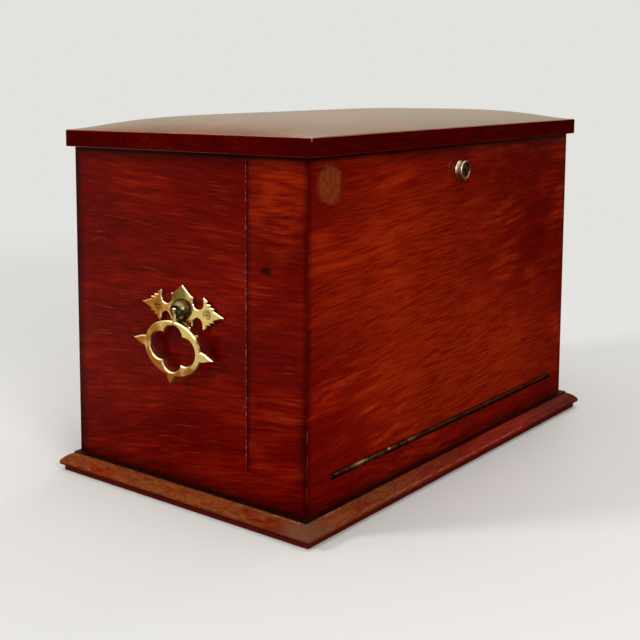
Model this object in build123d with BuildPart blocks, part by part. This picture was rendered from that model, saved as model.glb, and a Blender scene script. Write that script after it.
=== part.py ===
from build123d import *
from math import copysign, cos, radians, sin
import os

os.makedirs("parts", exist_ok=True)

# Closed stationery box in millimetres: X is its width, -Y its front, Z up.
# The origin is the middle of the plinth's underside.

# Box body, measured from the plinth's top to the lid joint
body_width = 390.0
body_depth = 216.0
body_height = 235.0
wall = 10.0
arris = 1.2

# Clearances
gap = 0.3
fit = 0.1
pin_fit = 0.05

# Plinth moulding: one section all round, mitred at its corners
plinth_height = 14.5
plinth_out_side = 14.6
plinth_out_front = 12.4
plinth_out_back = 9.4
plinth_rail_width = 30.0
plinth_slope_run = 8.8
plinth_quirk = 1.3
plinth_nose_height = 6.2
plinth_nose_radius = 1.7
plinth_nose_turn = 55.0
plinth_undercut = 1.8
plinth_bulge = 0.7
plinth_corner = 2.0
base_thickness = 10.0

# Fall front: a tray that swings down on a strip hinge
fall_depth = 50.0
seam_height = 21.0
ledge_size = 5.0

# Lid: a slab with a pillowed top
lid_edge = 12.7
lid_crown = 10.0
lid_crown_power_x = 8.0
lid_crown_power_y = 4.0
lid_out_side = 3.8
lid_out_front = 5.7
lid_out_back = 6.4
lid_corner = 2.0
lid_arris = 0.9
lid_columns = 24
lid_rows = 16

# Strip hinge along the foot of the fall
strip_length = 336.0
strip_knuckles = 8
strip_barrel = 2.0
strip_pin = 0.9
strip_set_out = 0.5
strip_leaf = 1.2
strip_leaf_depth = 8.0

# Lid butts
butt_length = 52.0
butt_knuckles = 3
butt_spread = 240.0
butt_barrel = 2.6
butt_pin = 1.3
butt_leaf = 1.2

# Writing flap and its butts
flap_thickness = 7.0
flap_hinge_length = 42.0
flap_hinge_knuckles = 3
flap_hinge_spread = 220.0
flap_barrel = 1.6
flap_pin = 0.8
flap_leaf = 1.0
leather_margin = 16.0
leather_thickness = 0.8
tab_width = 18.0
tab_thickness = 1.2
tab_length = 11.0

# Lock in the head of the fall
lock_drop = 20.0
lock_case_width = 48.0
lock_case_thickness = 10.0
lock_case_height = 39.0
lock_plate_width = 62.0
lock_plate_depth = 12.0
lock_plate_thickness = 1.4
bolt_width = 12.0
bolt_thickness = 5.0
bolt_length = 26.0
bolt_throw = 5.0
bolt_inset = 2.5
bolt_window = (9.0, 4.0)
strike_width = 40.0
strike_thickness = 1.2
strike_border = 2.0
nozzle_flange = 7.5
nozzle_waist = 5.7
nozzle_stem = 5.0
nozzle_length = 5.8
nozzle_back_flange = 1.3
nozzle_front_flange = 1.7
nozzle_throat = 0.8
nozzle_dish = 5.6
nozzle_dish_depth = 0.7
nozzle_edge = 0.4
key_hole = 1.6
key_slot = 1.7
key_slot_drop = 4.4
key_depth = 12.0

# Handles: pierced backplate, domed boss and quatrefoil drop ring on each side
handle_height = 125.2
handle_forward = 2.2
plate_thickness = 3.2
plate_bevel = 0.6
plate_tilt = -2.1
plate_screw_spacing = 47.0
plate_tip = 38.3
plate_peak = 17.5
plate_foot = 11.0
plate_waist = (8.6, 10.4)
bite_upper = (14.8, 7.2, 5.0)
bite_lower = (14.8, -8.2, 4.5)
bite_mouth = 9.4
bite_lip = (20.3, 11.4)
leaf_steps = [(23.4, 9.3), (23.0, 7.6), (26.4, 7.4), (26.0, 5.6), (29.6, 5.2), (29.2, 3.4)]
boss_radius = 7.7
boss_skirt = 0.4
ring_out = 8.9
ring_depth = 4.4
ring_drop = 27.0
ring_half_width = 26.6
ring_half_height = 19.6
ring_side_lobe = 10.0
ring_side_lobe_out = 11.2
ring_end_lobe = 8.8
ring_end_lobe_out = 8.0
ring_side_spike = 11.0
ring_foot_spike = 6.6
ring_spike_base = 4.4
ring_spike_shoulder = (0.3, 0.72)
ring_neck = 3.0
ring_eye = 2.6
ring_pin = 1.0
ring_tilt = -5.0
ring_bevel = 0.8
ring_slot_side = 1.3
ring_slot_over = 1.2
screw_head = 3.6
screw_head_depth = 1.9
screw_crown = 0.6
screw_shank = 1.5
screw_length = 8.0
screw_slot = 0.8
screw_slot_depth = 0.9

# Inside: pen tray with two wells and a stepped letter rack
pen_tray_height = 19.5
pen_tray_depth = 44.0
pen_groove_width = 26.0
pen_groove_depth = 11.0
pen_groove_length = 240.0
well_size = 29.0
well_body_height = 26.0
well_socket_depth = 12.0
well_inset = 24.0
well_bevel = 3.0
well_neck = 8.0
well_neck_height = 4.0
well_bore = 6.5
well_floor = 5.0
collar_radius = 10.0
collar_height = 5.0
cap_height = 6.7
cap_radius = 10.5
cap_wall = 1.4
cap_lug = 1.5
cap_lug_width = 5.0
cap_pin = 0.6
cap_pin_length = 14.0
rack_end_thickness = 5.0
rack_divider_thickness = 4.0
rack_slot = 28.0
rack_front_height = 90.5
rack_step = 45.0
rack_end_over = 8.0
rack_scoop = 16.0
rack_scoop_width = 150.0

# Planes and levels that follow from the sizes above
x_side = body_width / 2
x_in = x_side - wall
y_front = (plinth_out_front - plinth_out_back - body_depth) / 2
y_back = y_front + body_depth
y_inner_back = y_back - wall
y_board = y_front + wall
y_fall_back = y_front + fall_depth
z_foot = plinth_height
z_seam = z_foot + seam_height
z_sill = z_seam - gap / 2
z_fall = z_seam + gap / 2
z_top = z_foot + body_height
z_lid = z_top + gap
z_rail = z_fall + wall
z_head = z_top - wall
boss_height = boss_skirt + boss_radius


def save(piece, name):
    """Labels a finished piece and writes it to its own file."""
    piece.part.label = name
    export_step(piece.part, f"parts/{name}.step")


def block(x, y, z, mode=Mode.ADD):
    """Adds a squared block between the two limits given for each axis."""
    with BuildSketch(Plane.XY.offset(z[0])) as outline:
        with Locations((sum(x) / 2, sum(y) / 2)):
            Rectangle(x[1] - x[0], y[1] - y[0])
    extrude(outline.sketch, amount=z[1] - z[0], mode=mode)


def rod(x, axis, radius, mode=Mode.ADD):
    """Adds a round bar that runs along X between two limits, about an axis given in Y and Z."""
    with BuildSketch(Plane.YZ.offset(x[0])) as outline:
        with Locations(axis):
            Circle(radius)
    extrude(outline.sketch, amount=x[1] - x[0], mode=mode)


def wall_sector(z, corners):
    """Adds the part of the box's rounded wall ring that lies inside some corners, seen from above."""
    with BuildSketch(Plane.XY.offset(z[0])) as outline:
        with Locations((0, (y_front + y_back) / 2)):
            RectangleRounded(body_width, body_depth, arris)
            Rectangle(body_width - 2 * wall, body_depth - 2 * wall, mode=Mode.SUBTRACT)
        Polygon(*corners, align=None, mode=Mode.INTERSECT)
    extrude(outline.sketch, amount=z[1] - z[0])


# Plinth: four lengths of one moulding, mitred round the base board
plinth_x = x_side + plinth_out_side
plinth_y = (body_depth + plinth_out_front + plinth_out_back) / 2


def plinth_rail(half_length, half_reach, angle):
    """One length of the plinth moulding, nose outwards, with both its ends mitred."""
    inner = half_reach - plinth_rail_width
    slope_top = half_reach - plinth_slope_run
    nose_low = plinth_nose_height - plinth_nose_radius
    nose_turn = radians(plinth_nose_turn)
    nose_top_y = half_reach - plinth_nose_radius * (1 - cos(nose_turn))
    nose_top_z = plinth_nose_height + plinth_nose_radius * sin(nose_turn)
    step_z = plinth_height - plinth_quirk
    with BuildPart() as rail:
        with BuildSketch(Plane.YZ.offset(-half_length)):
            with BuildLine():
                Polyline(
                    (half_reach - plinth_nose_radius, nose_low),
                    (half_reach - plinth_undercut - plinth_nose_radius, nose_low),
                    (half_reach - plinth_undercut - plinth_nose_radius, 0),
                    (inner, 0),
                    (inner, plinth_height),
                    (slope_top, plinth_height),
                    (slope_top, step_z),
                )
                ThreePointArc(
                    (slope_top, step_z),
                    (
                        (slope_top + nose_top_y) / 2 + plinth_bulge / 2,
                        (step_z + nose_top_z) / 2 + plinth_bulge,
                    ),
                    (nose_top_y, nose_top_z),
                )
                ThreePointArc(
                    (nose_top_y, nose_top_z),
                    (half_reach, plinth_nose_height),
                    (half_reach - plinth_nose_radius, nose_low),
                )
            make_face()
        extrude(amount=2 * half_length)
        with BuildSketch():
            RectangleRounded(2 * half_length, 2 * half_reach, plinth_corner)
            Polygon(
                (-half_length, half_reach),
                (half_length, half_reach),
                (half_length - plinth_rail_width, inner),
                (plinth_rail_width - half_length, inner),
                align=None,
                mode=Mode.INTERSECT,
            )
        extrude(amount=plinth_height, mode=Mode.INTERSECT)
    return rail.part.rotate(Axis.Z, angle)


for name, half_length, half_reach, angle in (
    ("plinth_back", plinth_x, plinth_y, 0),
    ("plinth_left", plinth_y, plinth_x, 90),
    ("plinth_front", plinth_x, plinth_y, 180),
    ("plinth_right", plinth_y, plinth_x, 270),
):
    with BuildPart() as rail:
        add(plinth_rail(half_length, half_reach, angle))
    save(rail, name)

base_x = plinth_x - plinth_rail_width
base_y = plinth_y - plinth_rail_width
with BuildPart() as base_board:
    block((-base_x, base_x), (-base_y, base_y), (z_foot - base_thickness, z_foot))
save(base_board, "base_board")

# Hinge lines
strip_axis = (y_front - strip_set_out, z_seam)
butt_axis = (y_back + butt_barrel + fit, z_top + gap / 2)
flap_z = z_rail + gap
flap_top = z_head - gap
flap_axis = (y_fall_back + flap_barrel + fit, z_rail + gap / 2)


def hinge_leaf(centre, length, count, odd, axis, radius, pin, y, z):
    """Adds one leaf of a hinge that lies along X, with every other knuckle of its barrel.

    y gives the leaf's edge by the barrel and then its far edge.
    """
    step = length / count
    start = centre - length / 2
    block((start, start + length), (min(y), max(y)), z)
    for index in range(odd, count, 2):
        span = (start + index * step + fit, start + (index + 1) * step - fit)
        block(span, (min(axis[0], y[0]), max(axis[0], y[0])), z)
        rod(span, axis, radius)
    rod((start, start + length), axis, pin + pin_fit, mode=Mode.SUBTRACT)


def screw_holes(places, plane, head, depth, shank):
    """Cuts countersunk holes at places on a plane, heads at the plane."""
    with Locations(*[plane.location * Location((*place, 0)) for place in places]):
        CounterSinkHole(shank, head, depth)


# Carcass: sides with a low strip that runs on under the fall, back, sill and hinge rail
hinge_relief = strip_barrel + gap
strip_half = strip_length / 2
strip_leaf_y = (strip_axis[0] + hinge_relief, strip_axis[0] + hinge_relief + strip_leaf_depth)

handle_y = (y_front + y_back) / 2 - handle_forward
handle_z = z_foot + handle_height


def side_plane(sign, out, tilt=0):
    """Plane on a side of the box, facing outwards, centred on its handle.

    Y of the plane is up, or leans by a tilt in degrees, counterclockwise from outside.
    """
    return Plane(
        origin=(sign * (x_side + out), handle_y, handle_z),
        x_dir=(0, sign * cos(radians(tilt)), sin(radians(tilt))),
        z_dir=(sign, 0, 0),
    )


screw_places = [(-plate_screw_spacing / 2, 0), (plate_screw_spacing / 2, 0)]

for name, sign in (("left", -1), ("right", 1)):
    outer = sign * x_side
    inner = sign * x_in
    with BuildPart() as side:
        wall_sector(
            (z_foot, z_sill),
            [(outer, y_front), (inner, y_board), (inner, y_back), (outer, y_back)],
        )
        wall_sector(
            (z_foot, z_top),
            [
                (outer, y_fall_back + gap),
                (inner, y_fall_back + gap),
                (inner, y_back),
                (outer, y_back),
            ],
        )
        with BuildSketch(side_plane(sign, 0, plate_tilt)):
            with Locations(*screw_places):
                Circle(screw_shank + fit)
        extrude(amount=plate_thickness - screw_length - fit, mode=Mode.SUBTRACT)
    save(side, f"side_{name}")

butt_places = (-butt_spread / 2, butt_spread / 2)
with BuildPart() as back_panel:
    block((-x_in, x_in), (y_inner_back, y_back), (z_foot, z_top))
    for centre in butt_places:
        block(
            (centre - butt_length / 2, centre + butt_length / 2),
            (y_inner_back, y_back),
            (z_top - butt_leaf, z_top),
            mode=Mode.SUBTRACT,
        )
save(back_panel, "back_panel")

with BuildPart() as front_sill:
    wall_sector(
        (z_foot, z_sill), [(-x_side, y_front), (x_side, y_front), (x_in, y_board), (-x_in, y_board)]
    )
    block(
        (-strip_half, strip_half), (y_front, strip_leaf_y[1]), (z_sill - strip_leaf, z_sill), Mode.SUBTRACT
    )
    rod((-strip_half - gap, strip_half + gap), strip_axis, hinge_relief, mode=Mode.SUBTRACT)
save(front_sill, "front_sill")

with BuildPart() as hinge_rail:
    block((-x_in, x_in), (y_board, y_fall_back), (z_foot, z_sill))
    block(
        (-strip_half, strip_half), (y_board, strip_leaf_y[1]), (z_sill - strip_leaf, z_sill), Mode.SUBTRACT
    )
save(hinge_rail, "hinge_rail")

with BuildPart() as fall_hinge_lower_leaf:
    hinge_leaf(
        0, strip_length, strip_knuckles, 0, strip_axis, strip_barrel, strip_pin,
        strip_leaf_y, (z_sill - strip_leaf, z_sill),
    )
save(fall_hinge_lower_leaf, "fall_hinge_lower_leaf")

with BuildPart() as fall_hinge_pin:
    rod((-strip_half, strip_half), strip_axis, strip_pin)
save(fall_hinge_pin, "fall_hinge_pin")

with BuildPart() as lid_hinge_lower_leaves:
    for centre in butt_places:
        hinge_leaf(
            centre, butt_length, butt_knuckles, 0, butt_axis, butt_barrel, butt_pin,
            (y_back, y_inner_back), (z_top - butt_leaf, z_top),
        )
save(lid_hinge_lower_leaves, "lid_hinge_lower_leaves")

with BuildPart() as lid_hinge_pins:
    for centre in butt_places:
        rod((centre - butt_length / 2, centre + butt_length / 2), butt_axis, butt_pin)
save(lid_hinge_pins, "lid_hinge_pins")

# Fittings inside: pen tray, wells and letter rack
tray_y = (y_fall_back + gap, y_fall_back + gap + pen_tray_depth)
tray_top = z_foot + pen_tray_height
well_y = sum(tray_y) / 2
well_floor_z = tray_top - well_socket_depth
well_top = well_floor_z + well_body_height
well_x = x_in - well_inset

with BuildPart() as pen_tray:
    block((-x_in, x_in), tray_y, (z_foot, tray_top))
    with BuildSketch(Plane.YZ.offset(-pen_groove_length / 2)):
        with Locations((well_y, tray_top)):
            Ellipse(pen_groove_width / 2, pen_groove_depth)
    extrude(amount=pen_groove_length, mode=Mode.SUBTRACT)
    with BuildSketch(Plane.XY.offset(tray_top)):
        with Locations((-well_x, well_y), (well_x, well_y)):
            Rectangle(well_size + 2 * gap, well_size + 2 * gap)
    extrude(amount=-well_socket_depth, mode=Mode.SUBTRACT)
save(pen_tray, "pen_tray")

cap_axis = (well_y + cap_radius + cap_lug, well_top + collar_height + gap / 2)
for name, sign in (("left", -1), ("right", 1)):
    centre = (sign * well_x, well_y)
    lug_x = (centre[0] - cap_lug_width / 2, centre[0] + cap_lug_width / 2)
    tab_x = (centre[0] - 3 * cap_lug_width / 2, centre[0] + 3 * cap_lug_width / 2)

    with BuildPart() as inkwell:
        with BuildSketch(Plane.XY.offset(well_floor_z)):
            with Locations(centre):
                Rectangle(well_size, well_size)
        extrude(amount=well_body_height)
        chamfer(inkwell.faces().sort_by(Axis.Z)[-1].edges(), well_bevel)
        with BuildSketch(Plane.XY.offset(well_top)):
            with Locations(centre):
                Circle(well_neck)
        extrude(amount=well_neck_height)
        with BuildSketch(Plane.XY.offset(well_floor_z + well_floor)):
            with Locations(centre):
                Circle(well_bore)
        extrude(amount=well_body_height + well_neck_height, mode=Mode.SUBTRACT)
    save(inkwell, f"inkwell_{name}")

    with BuildPart() as collar:
        with BuildSketch(Plane.XY.offset(well_top)):
            with Locations(centre):
                Circle(collar_radius)
                Circle(well_neck + fit, mode=Mode.SUBTRACT)
        extrude(amount=collar_height)
        block(
            tab_x,
            (well_y + well_neck + fit, cap_axis[0]),
            (cap_axis[1] - 2 * cap_lug, well_top + collar_height),
        )
        for end in (lug_x[0] - cap_lug_width, lug_x[1]):
            rod((end + fit, end + cap_lug_width - fit), cap_axis, cap_lug)
        block(
            lug_x,
            (cap_axis[0] - cap_lug - gap, cap_axis[0] + cap_lug),
            (cap_axis[1] - 3 * cap_lug, cap_axis[1] + cap_lug),
            Mode.SUBTRACT,
        )
        rod(tab_x, cap_axis, cap_pin + pin_fit, mode=Mode.SUBTRACT)
    save(collar, f"inkwell_collar_{name}")

    cap_base = well_top + collar_height + gap
    with BuildPart() as cap:
        with BuildSketch(Plane.XY.offset(cap_base)):
            with Locations(centre):
                Circle(cap_radius)
        extrude(amount=cap_height)
        chamfer(cap.faces().sort_by(Axis.Z)[-1].edges(), cap_height - cap_wall)
        block(
            (lug_x[0] + fit, lug_x[1] - fit),
            (well_y + cap_radius - cap_lug, cap_axis[0]),
            (cap_base, cap_base + cap_wall),
        )
        rod((lug_x[0] + fit, lug_x[1] - fit), cap_axis, cap_lug)
        rod(lug_x, cap_axis, cap_pin + pin_fit, mode=Mode.SUBTRACT)
    save(cap, f"inkwell_lid_{name}")

with BuildPart() as inkwell_pins:
    for sign in (-1, 1):
        rod((sign * well_x - cap_pin_length / 2, sign * well_x + cap_pin_length / 2), cap_axis, cap_pin)
save(inkwell_pins, "inkwell_pins")

rack_y = tray_y[1]
rack_x = x_in - rack_end_thickness
for index, name in enumerate(("front", "middle", "back")):
    y = rack_y + index * (rack_slot + rack_divider_thickness)
    top = z_foot + rack_front_height + index * rack_step
    with BuildPart() as divider:
        with BuildSketch(Plane.XZ.offset(-y)):
            with Locations((0, (z_foot + top) / 2)):
                Rectangle(2 * rack_x, top - z_foot)
            with Locations((0, top)):
                Ellipse(rack_scoop_width / 2, rack_scoop, mode=Mode.SUBTRACT)
        extrude(amount=-rack_divider_thickness)
    save(divider, f"rack_divider_{name}")

rack_rise_y = rack_y + 2 * (rack_slot + rack_divider_thickness)
rack_rise_z = z_foot + rack_front_height + 2 * rack_step + rack_end_over
for name, start in (("left", -x_in), ("right", rack_x)):
    with BuildPart() as rack_end:
        with BuildSketch(Plane.YZ.offset(start)):
            with BuildLine():
                Polyline(
                    (rack_rise_y, rack_rise_z),
                    (y_inner_back, rack_rise_z + rack_end_over),
                    (y_inner_back, z_foot),
                    (rack_y, z_foot),
                    (rack_y, z_foot + rack_front_height),
                )
                RadiusArc((rack_y, z_foot + rack_front_height), (rack_rise_y, rack_rise_z), rack_rise_z)
            make_face()
        extrude(amount=rack_end_thickness)
    save(rack_end, f"rack_end_{name}")

# Fall: mitred front board and cheeks, head and foot rails, and the ledges that stop its flap
lock_z = z_top - lock_drop
case_y = (y_board, y_board + lock_case_thickness)
lock_plate_y = (y_board, y_board + lock_plate_depth)

with BuildPart() as fall_front:
    wall_sector(
        (z_fall, z_top), [(-x_side, y_front), (x_side, y_front), (x_in, y_board), (-x_in, y_board)]
    )
    block((-strip_half, strip_half), (y_front, strip_leaf_y[1]), (z_fall, z_fall + strip_leaf), Mode.SUBTRACT)
    rod((-strip_half - gap, strip_half + gap), strip_axis, hinge_relief, mode=Mode.SUBTRACT)
    with BuildSketch(Plane.XZ.offset(-y_front)):
        with Locations((0, lock_z)):
            Circle(nozzle_stem + fit)
    extrude(amount=-wall, mode=Mode.SUBTRACT)
save(fall_front, "fall_front")

for name, sign in (("left", -1), ("right", 1)):
    outer = sign * x_side
    inner = sign * x_in
    with BuildPart() as cheek:
        wall_sector(
            (z_fall, z_top),
            [(outer, y_front), (inner, y_board), (inner, y_fall_back), (outer, y_fall_back)],
        )
    save(cheek, f"fall_cheek_{name}")

with BuildPart() as fall_foot_rail:
    block((-x_in, x_in), (y_board, y_fall_back), (z_fall, z_rail))
    block((-strip_half, strip_half), (y_board, strip_leaf_y[1]), (z_fall, z_fall + strip_leaf), Mode.SUBTRACT)
    for centre in (-flap_hinge_spread / 2, flap_hinge_spread / 2):
        block(
            (centre - flap_hinge_length / 2, centre + flap_hinge_length / 2),
            (y_fall_back - flap_thickness, y_fall_back),
            (z_rail - flap_leaf, z_rail),
            mode=Mode.SUBTRACT,
        )
save(fall_foot_rail, "fall_foot_rail")

with BuildPart() as fall_head_rail:
    block((-x_in, x_in), (y_board, y_fall_back), (z_head, z_top))
    block((-lock_case_width / 2, lock_case_width / 2), case_y, (z_head, z_top), Mode.SUBTRACT)
    block(
        (-lock_plate_width / 2, lock_plate_width / 2), lock_plate_y,
        (z_top - lock_plate_thickness, z_top), Mode.SUBTRACT,
    )
save(fall_head_rail, "fall_head_rail")

flap_front = y_fall_back - flap_thickness
with BuildPart() as flap_ledges:
    for x in ((-x_in, ledge_size - x_in), (x_in - ledge_size, x_in)):
        block(x, (flap_front - gap - ledge_size, flap_front - gap), (z_rail, z_head))
save(flap_ledges, "flap_ledges")

with BuildPart() as fall_hinge_upper_leaf:
    hinge_leaf(
        0, strip_length, strip_knuckles, 1, strip_axis, strip_barrel, strip_pin,
        strip_leaf_y, (z_fall, z_fall + strip_leaf),
    )
save(fall_hinge_upper_leaf, "fall_hinge_upper_leaf")

# Writing flap inside the fall, lined with leather
flap_half = x_in - gap
flap_places = (-flap_hinge_spread / 2, flap_hinge_spread / 2)
leather_z = (flap_z + leather_margin, flap_top - leather_margin)
leather_x = flap_half - leather_margin

with BuildPart() as writing_flap:
    block((-flap_half, flap_half), (flap_front, y_fall_back), (flap_z, flap_top))
    block((-leather_x, leather_x), (y_fall_back - leather_thickness, y_fall_back), leather_z, Mode.SUBTRACT)
    for centre in flap_places:
        block(
            (centre - flap_hinge_length / 2, centre + flap_hinge_length / 2),
            (flap_front, y_fall_back),
            (flap_z, flap_z + flap_leaf),
            mode=Mode.SUBTRACT,
        )
    block(
        (-tab_width / 2, tab_width / 2), (flap_front, flap_front + tab_thickness),
        (flap_top - tab_length, flap_top), Mode.SUBTRACT,
    )
save(writing_flap, "writing_flap")

with BuildPart() as writing_leather:
    block((-leather_x, leather_x), (y_fall_back - leather_thickness, y_fall_back), leather_z)
save(writing_leather, "writing_leather")

with BuildPart() as flap_pull:
    block(
        (-tab_width / 2, tab_width / 2), (flap_front, flap_front + tab_thickness),
        (flap_top - tab_length, flap_top),
    )
save(flap_pull, "flap_pull")

with BuildPart() as flap_hinge_fixed_leaves:
    for centre in flap_places:
        hinge_leaf(
            centre, flap_hinge_length, flap_hinge_knuckles, 0, flap_axis, flap_barrel, flap_pin,
            (y_fall_back, flap_front), (z_rail - flap_leaf, z_rail),
        )
save(flap_hinge_fixed_leaves, "flap_hinge_fixed_leaves")

with BuildPart() as flap_hinge_moving_leaves:
    for centre in flap_places:
        hinge_leaf(
            centre, flap_hinge_length, flap_hinge_knuckles, 1, flap_axis, flap_barrel, flap_pin,
            (y_fall_back, flap_front), (flap_z, flap_z + flap_leaf),
        )
save(flap_hinge_moving_leaves, "flap_hinge_moving_leaves")

with BuildPart() as flap_hinge_pins:
    for centre in flap_places:
        rod((centre - flap_hinge_length / 2, centre + flap_hinge_length / 2), flap_axis, flap_pin)
save(flap_hinge_pins, "flap_hinge_pins")

# Lock: case and selvedge plate, upright bolt, and the nozzle that guides the key
bolt_y = (case_y[0] + bolt_inset, case_y[0] + bolt_inset + bolt_thickness)
bolt_top = z_top - gap

with BuildPart() as lock_case:
    block((-lock_case_width / 2, lock_case_width / 2), case_y, (z_top - lock_case_height, z_top))
    block(
        (-lock_plate_width / 2, lock_plate_width / 2), lock_plate_y,
        (z_top - lock_plate_thickness, z_top),
    )
    block(
        (-bolt_width / 2 - fit, bolt_width / 2 + fit), (bolt_y[0] - fit, bolt_y[1] + fit),
        (bolt_top - bolt_length - gap, z_top), Mode.SUBTRACT,
    )
save(lock_case, "lock_case")

with BuildPart() as lock_bolt:
    block((-bolt_width / 2, bolt_width / 2), bolt_y, (bolt_top - bolt_length, bolt_top))
    with BuildSketch(Plane.XZ.offset(-bolt_y[0])):
        with Locations((0, bolt_top - bolt_length / 2)):
            SlotOverall(*bolt_window)
    extrude(amount=-bolt_thickness, mode=Mode.SUBTRACT)
save(lock_bolt, "lock_bolt")

y_nozzle = y_front - nozzle_length
y_neck = y_front - nozzle_back_flange
y_rim = y_nozzle + nozzle_front_flange
y_waist = (y_neck + y_rim) / 2

with BuildPart() as lock_nozzle:
    with BuildSketch(Plane.XY.offset(lock_z)):
        with BuildLine():
            Polyline(
                (0, y_board),
                (nozzle_stem, y_board),
                (nozzle_stem, y_front),
                (nozzle_flange - nozzle_edge, y_front),
                (nozzle_flange, y_front - nozzle_edge),
                (nozzle_flange, y_neck + nozzle_edge),
                (nozzle_flange - nozzle_edge, y_neck),
                (nozzle_waist, y_waist + nozzle_throat / 2),
                (nozzle_waist, y_waist - nozzle_throat / 2),
                (nozzle_flange - nozzle_edge, y_rim),
                (nozzle_flange, y_rim - nozzle_edge),
                (nozzle_flange, y_nozzle + nozzle_edge),
                (nozzle_flange - nozzle_edge, y_nozzle),
                (nozzle_dish + nozzle_edge, y_nozzle),
                (nozzle_dish, y_nozzle + nozzle_dish_depth),
                (0, y_nozzle + nozzle_dish_depth),
                close=True,
            )
        make_face()
    revolve(axis=Axis((0, 0, lock_z), (0, 1, 0)))
    with BuildSketch(Plane.XZ.offset(-y_nozzle)):
        with Locations((0, lock_z)):
            Circle(key_hole)
        with Locations((0, lock_z - key_slot_drop / 2)):
            Rectangle(key_slot, key_slot_drop)
    extrude(amount=-key_depth, mode=Mode.SUBTRACT)
save(lock_nozzle, "lock_nozzle")

# Lid: a slab whose top swells from four straight arrises
lid_x = x_side + lid_out_side
lid_y = (y_front - lid_out_front, y_back + lid_out_back)
lid_middle = sum(lid_y) / 2
lid_half = (lid_y[1] - lid_y[0]) / 2


def lid_height(across, along):
    """Height of the lid's top over its arris; both places run from -1 to 1."""
    side_fall = 1 - abs(across) ** lid_crown_power_x
    end_fall = 1 - abs(along) ** lid_crown_power_y
    return z_lid + lid_edge + lid_crown * side_fall * end_fall


lid_places = [
    [
        (
            lid_x * (2 * i / lid_columns - 1),
            lid_middle + lid_half * (2 * j / lid_rows - 1),
            lid_height(2 * i / lid_columns - 1, 2 * j / lid_rows - 1),
        )
        for j in range(-1, lid_rows + 2)
    ]
    for i in range(-1, lid_columns + 2)
]
lid_top = Face.make_surface_from_array_of_points(lid_places)
strike_y = (bolt_y[0] - strike_border - fit, bolt_y[1] + strike_border + fit)

with BuildPart() as lid_board:
    add(Solid.extrude(lid_top, Vector(0, 0, -2 * (lid_edge + lid_crown))))
    split(bisect_by=Plane.XY.offset(z_lid), keep=Keep.TOP)
    with BuildSketch(Plane.XY.offset(z_lid)):
        with Locations((0, lid_middle)):
            RectangleRounded(2 * lid_x, 2 * lid_half, lid_corner)
    extrude(amount=2 * (lid_edge + lid_crown), mode=Mode.INTERSECT)
    fillet(lid_board.faces().sort_by(Axis.Z)[-1].edges(), lid_arris)
    for centre in butt_places:
        block(
            (centre - butt_length / 2, centre + butt_length / 2), (y_inner_back, y_back),
            (z_lid, z_lid + butt_leaf), Mode.SUBTRACT,
        )
        block(
            (centre - butt_length / 2 - gap, centre + butt_length / 2 + gap), (y_back, lid_y[1]),
            (z_lid, butt_axis[1] + butt_barrel + gap), Mode.SUBTRACT,
        )
    block((-strike_width / 2, strike_width / 2), strike_y, (z_lid, z_lid + strike_thickness), Mode.SUBTRACT)
    block(
        (-bolt_width / 2 - gap, bolt_width / 2 + gap), (bolt_y[0] - gap, bolt_y[1] + gap),
        (z_lid, z_lid + bolt_throw + gap), Mode.SUBTRACT,
    )
save(lid_board, "lid_board")

with BuildPart() as lock_strike:
    block((-strike_width / 2, strike_width / 2), strike_y, (z_lid, z_lid + strike_thickness))
    block(
        (-bolt_width / 2 - gap, bolt_width / 2 + gap), (bolt_y[0] - gap, bolt_y[1] + gap),
        (z_lid, z_lid + strike_thickness), Mode.SUBTRACT,
    )
save(lock_strike, "lock_strike")

with BuildPart() as lid_hinge_upper_leaves:
    for centre in butt_places:
        hinge_leaf(
            centre, butt_length, butt_knuckles, 1, butt_axis, butt_barrel, butt_pin,
            (y_back, y_inner_back), (z_lid, z_lid + butt_leaf),
        )
save(lid_hinge_upper_leaves, "lid_hinge_upper_leaves")

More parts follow.
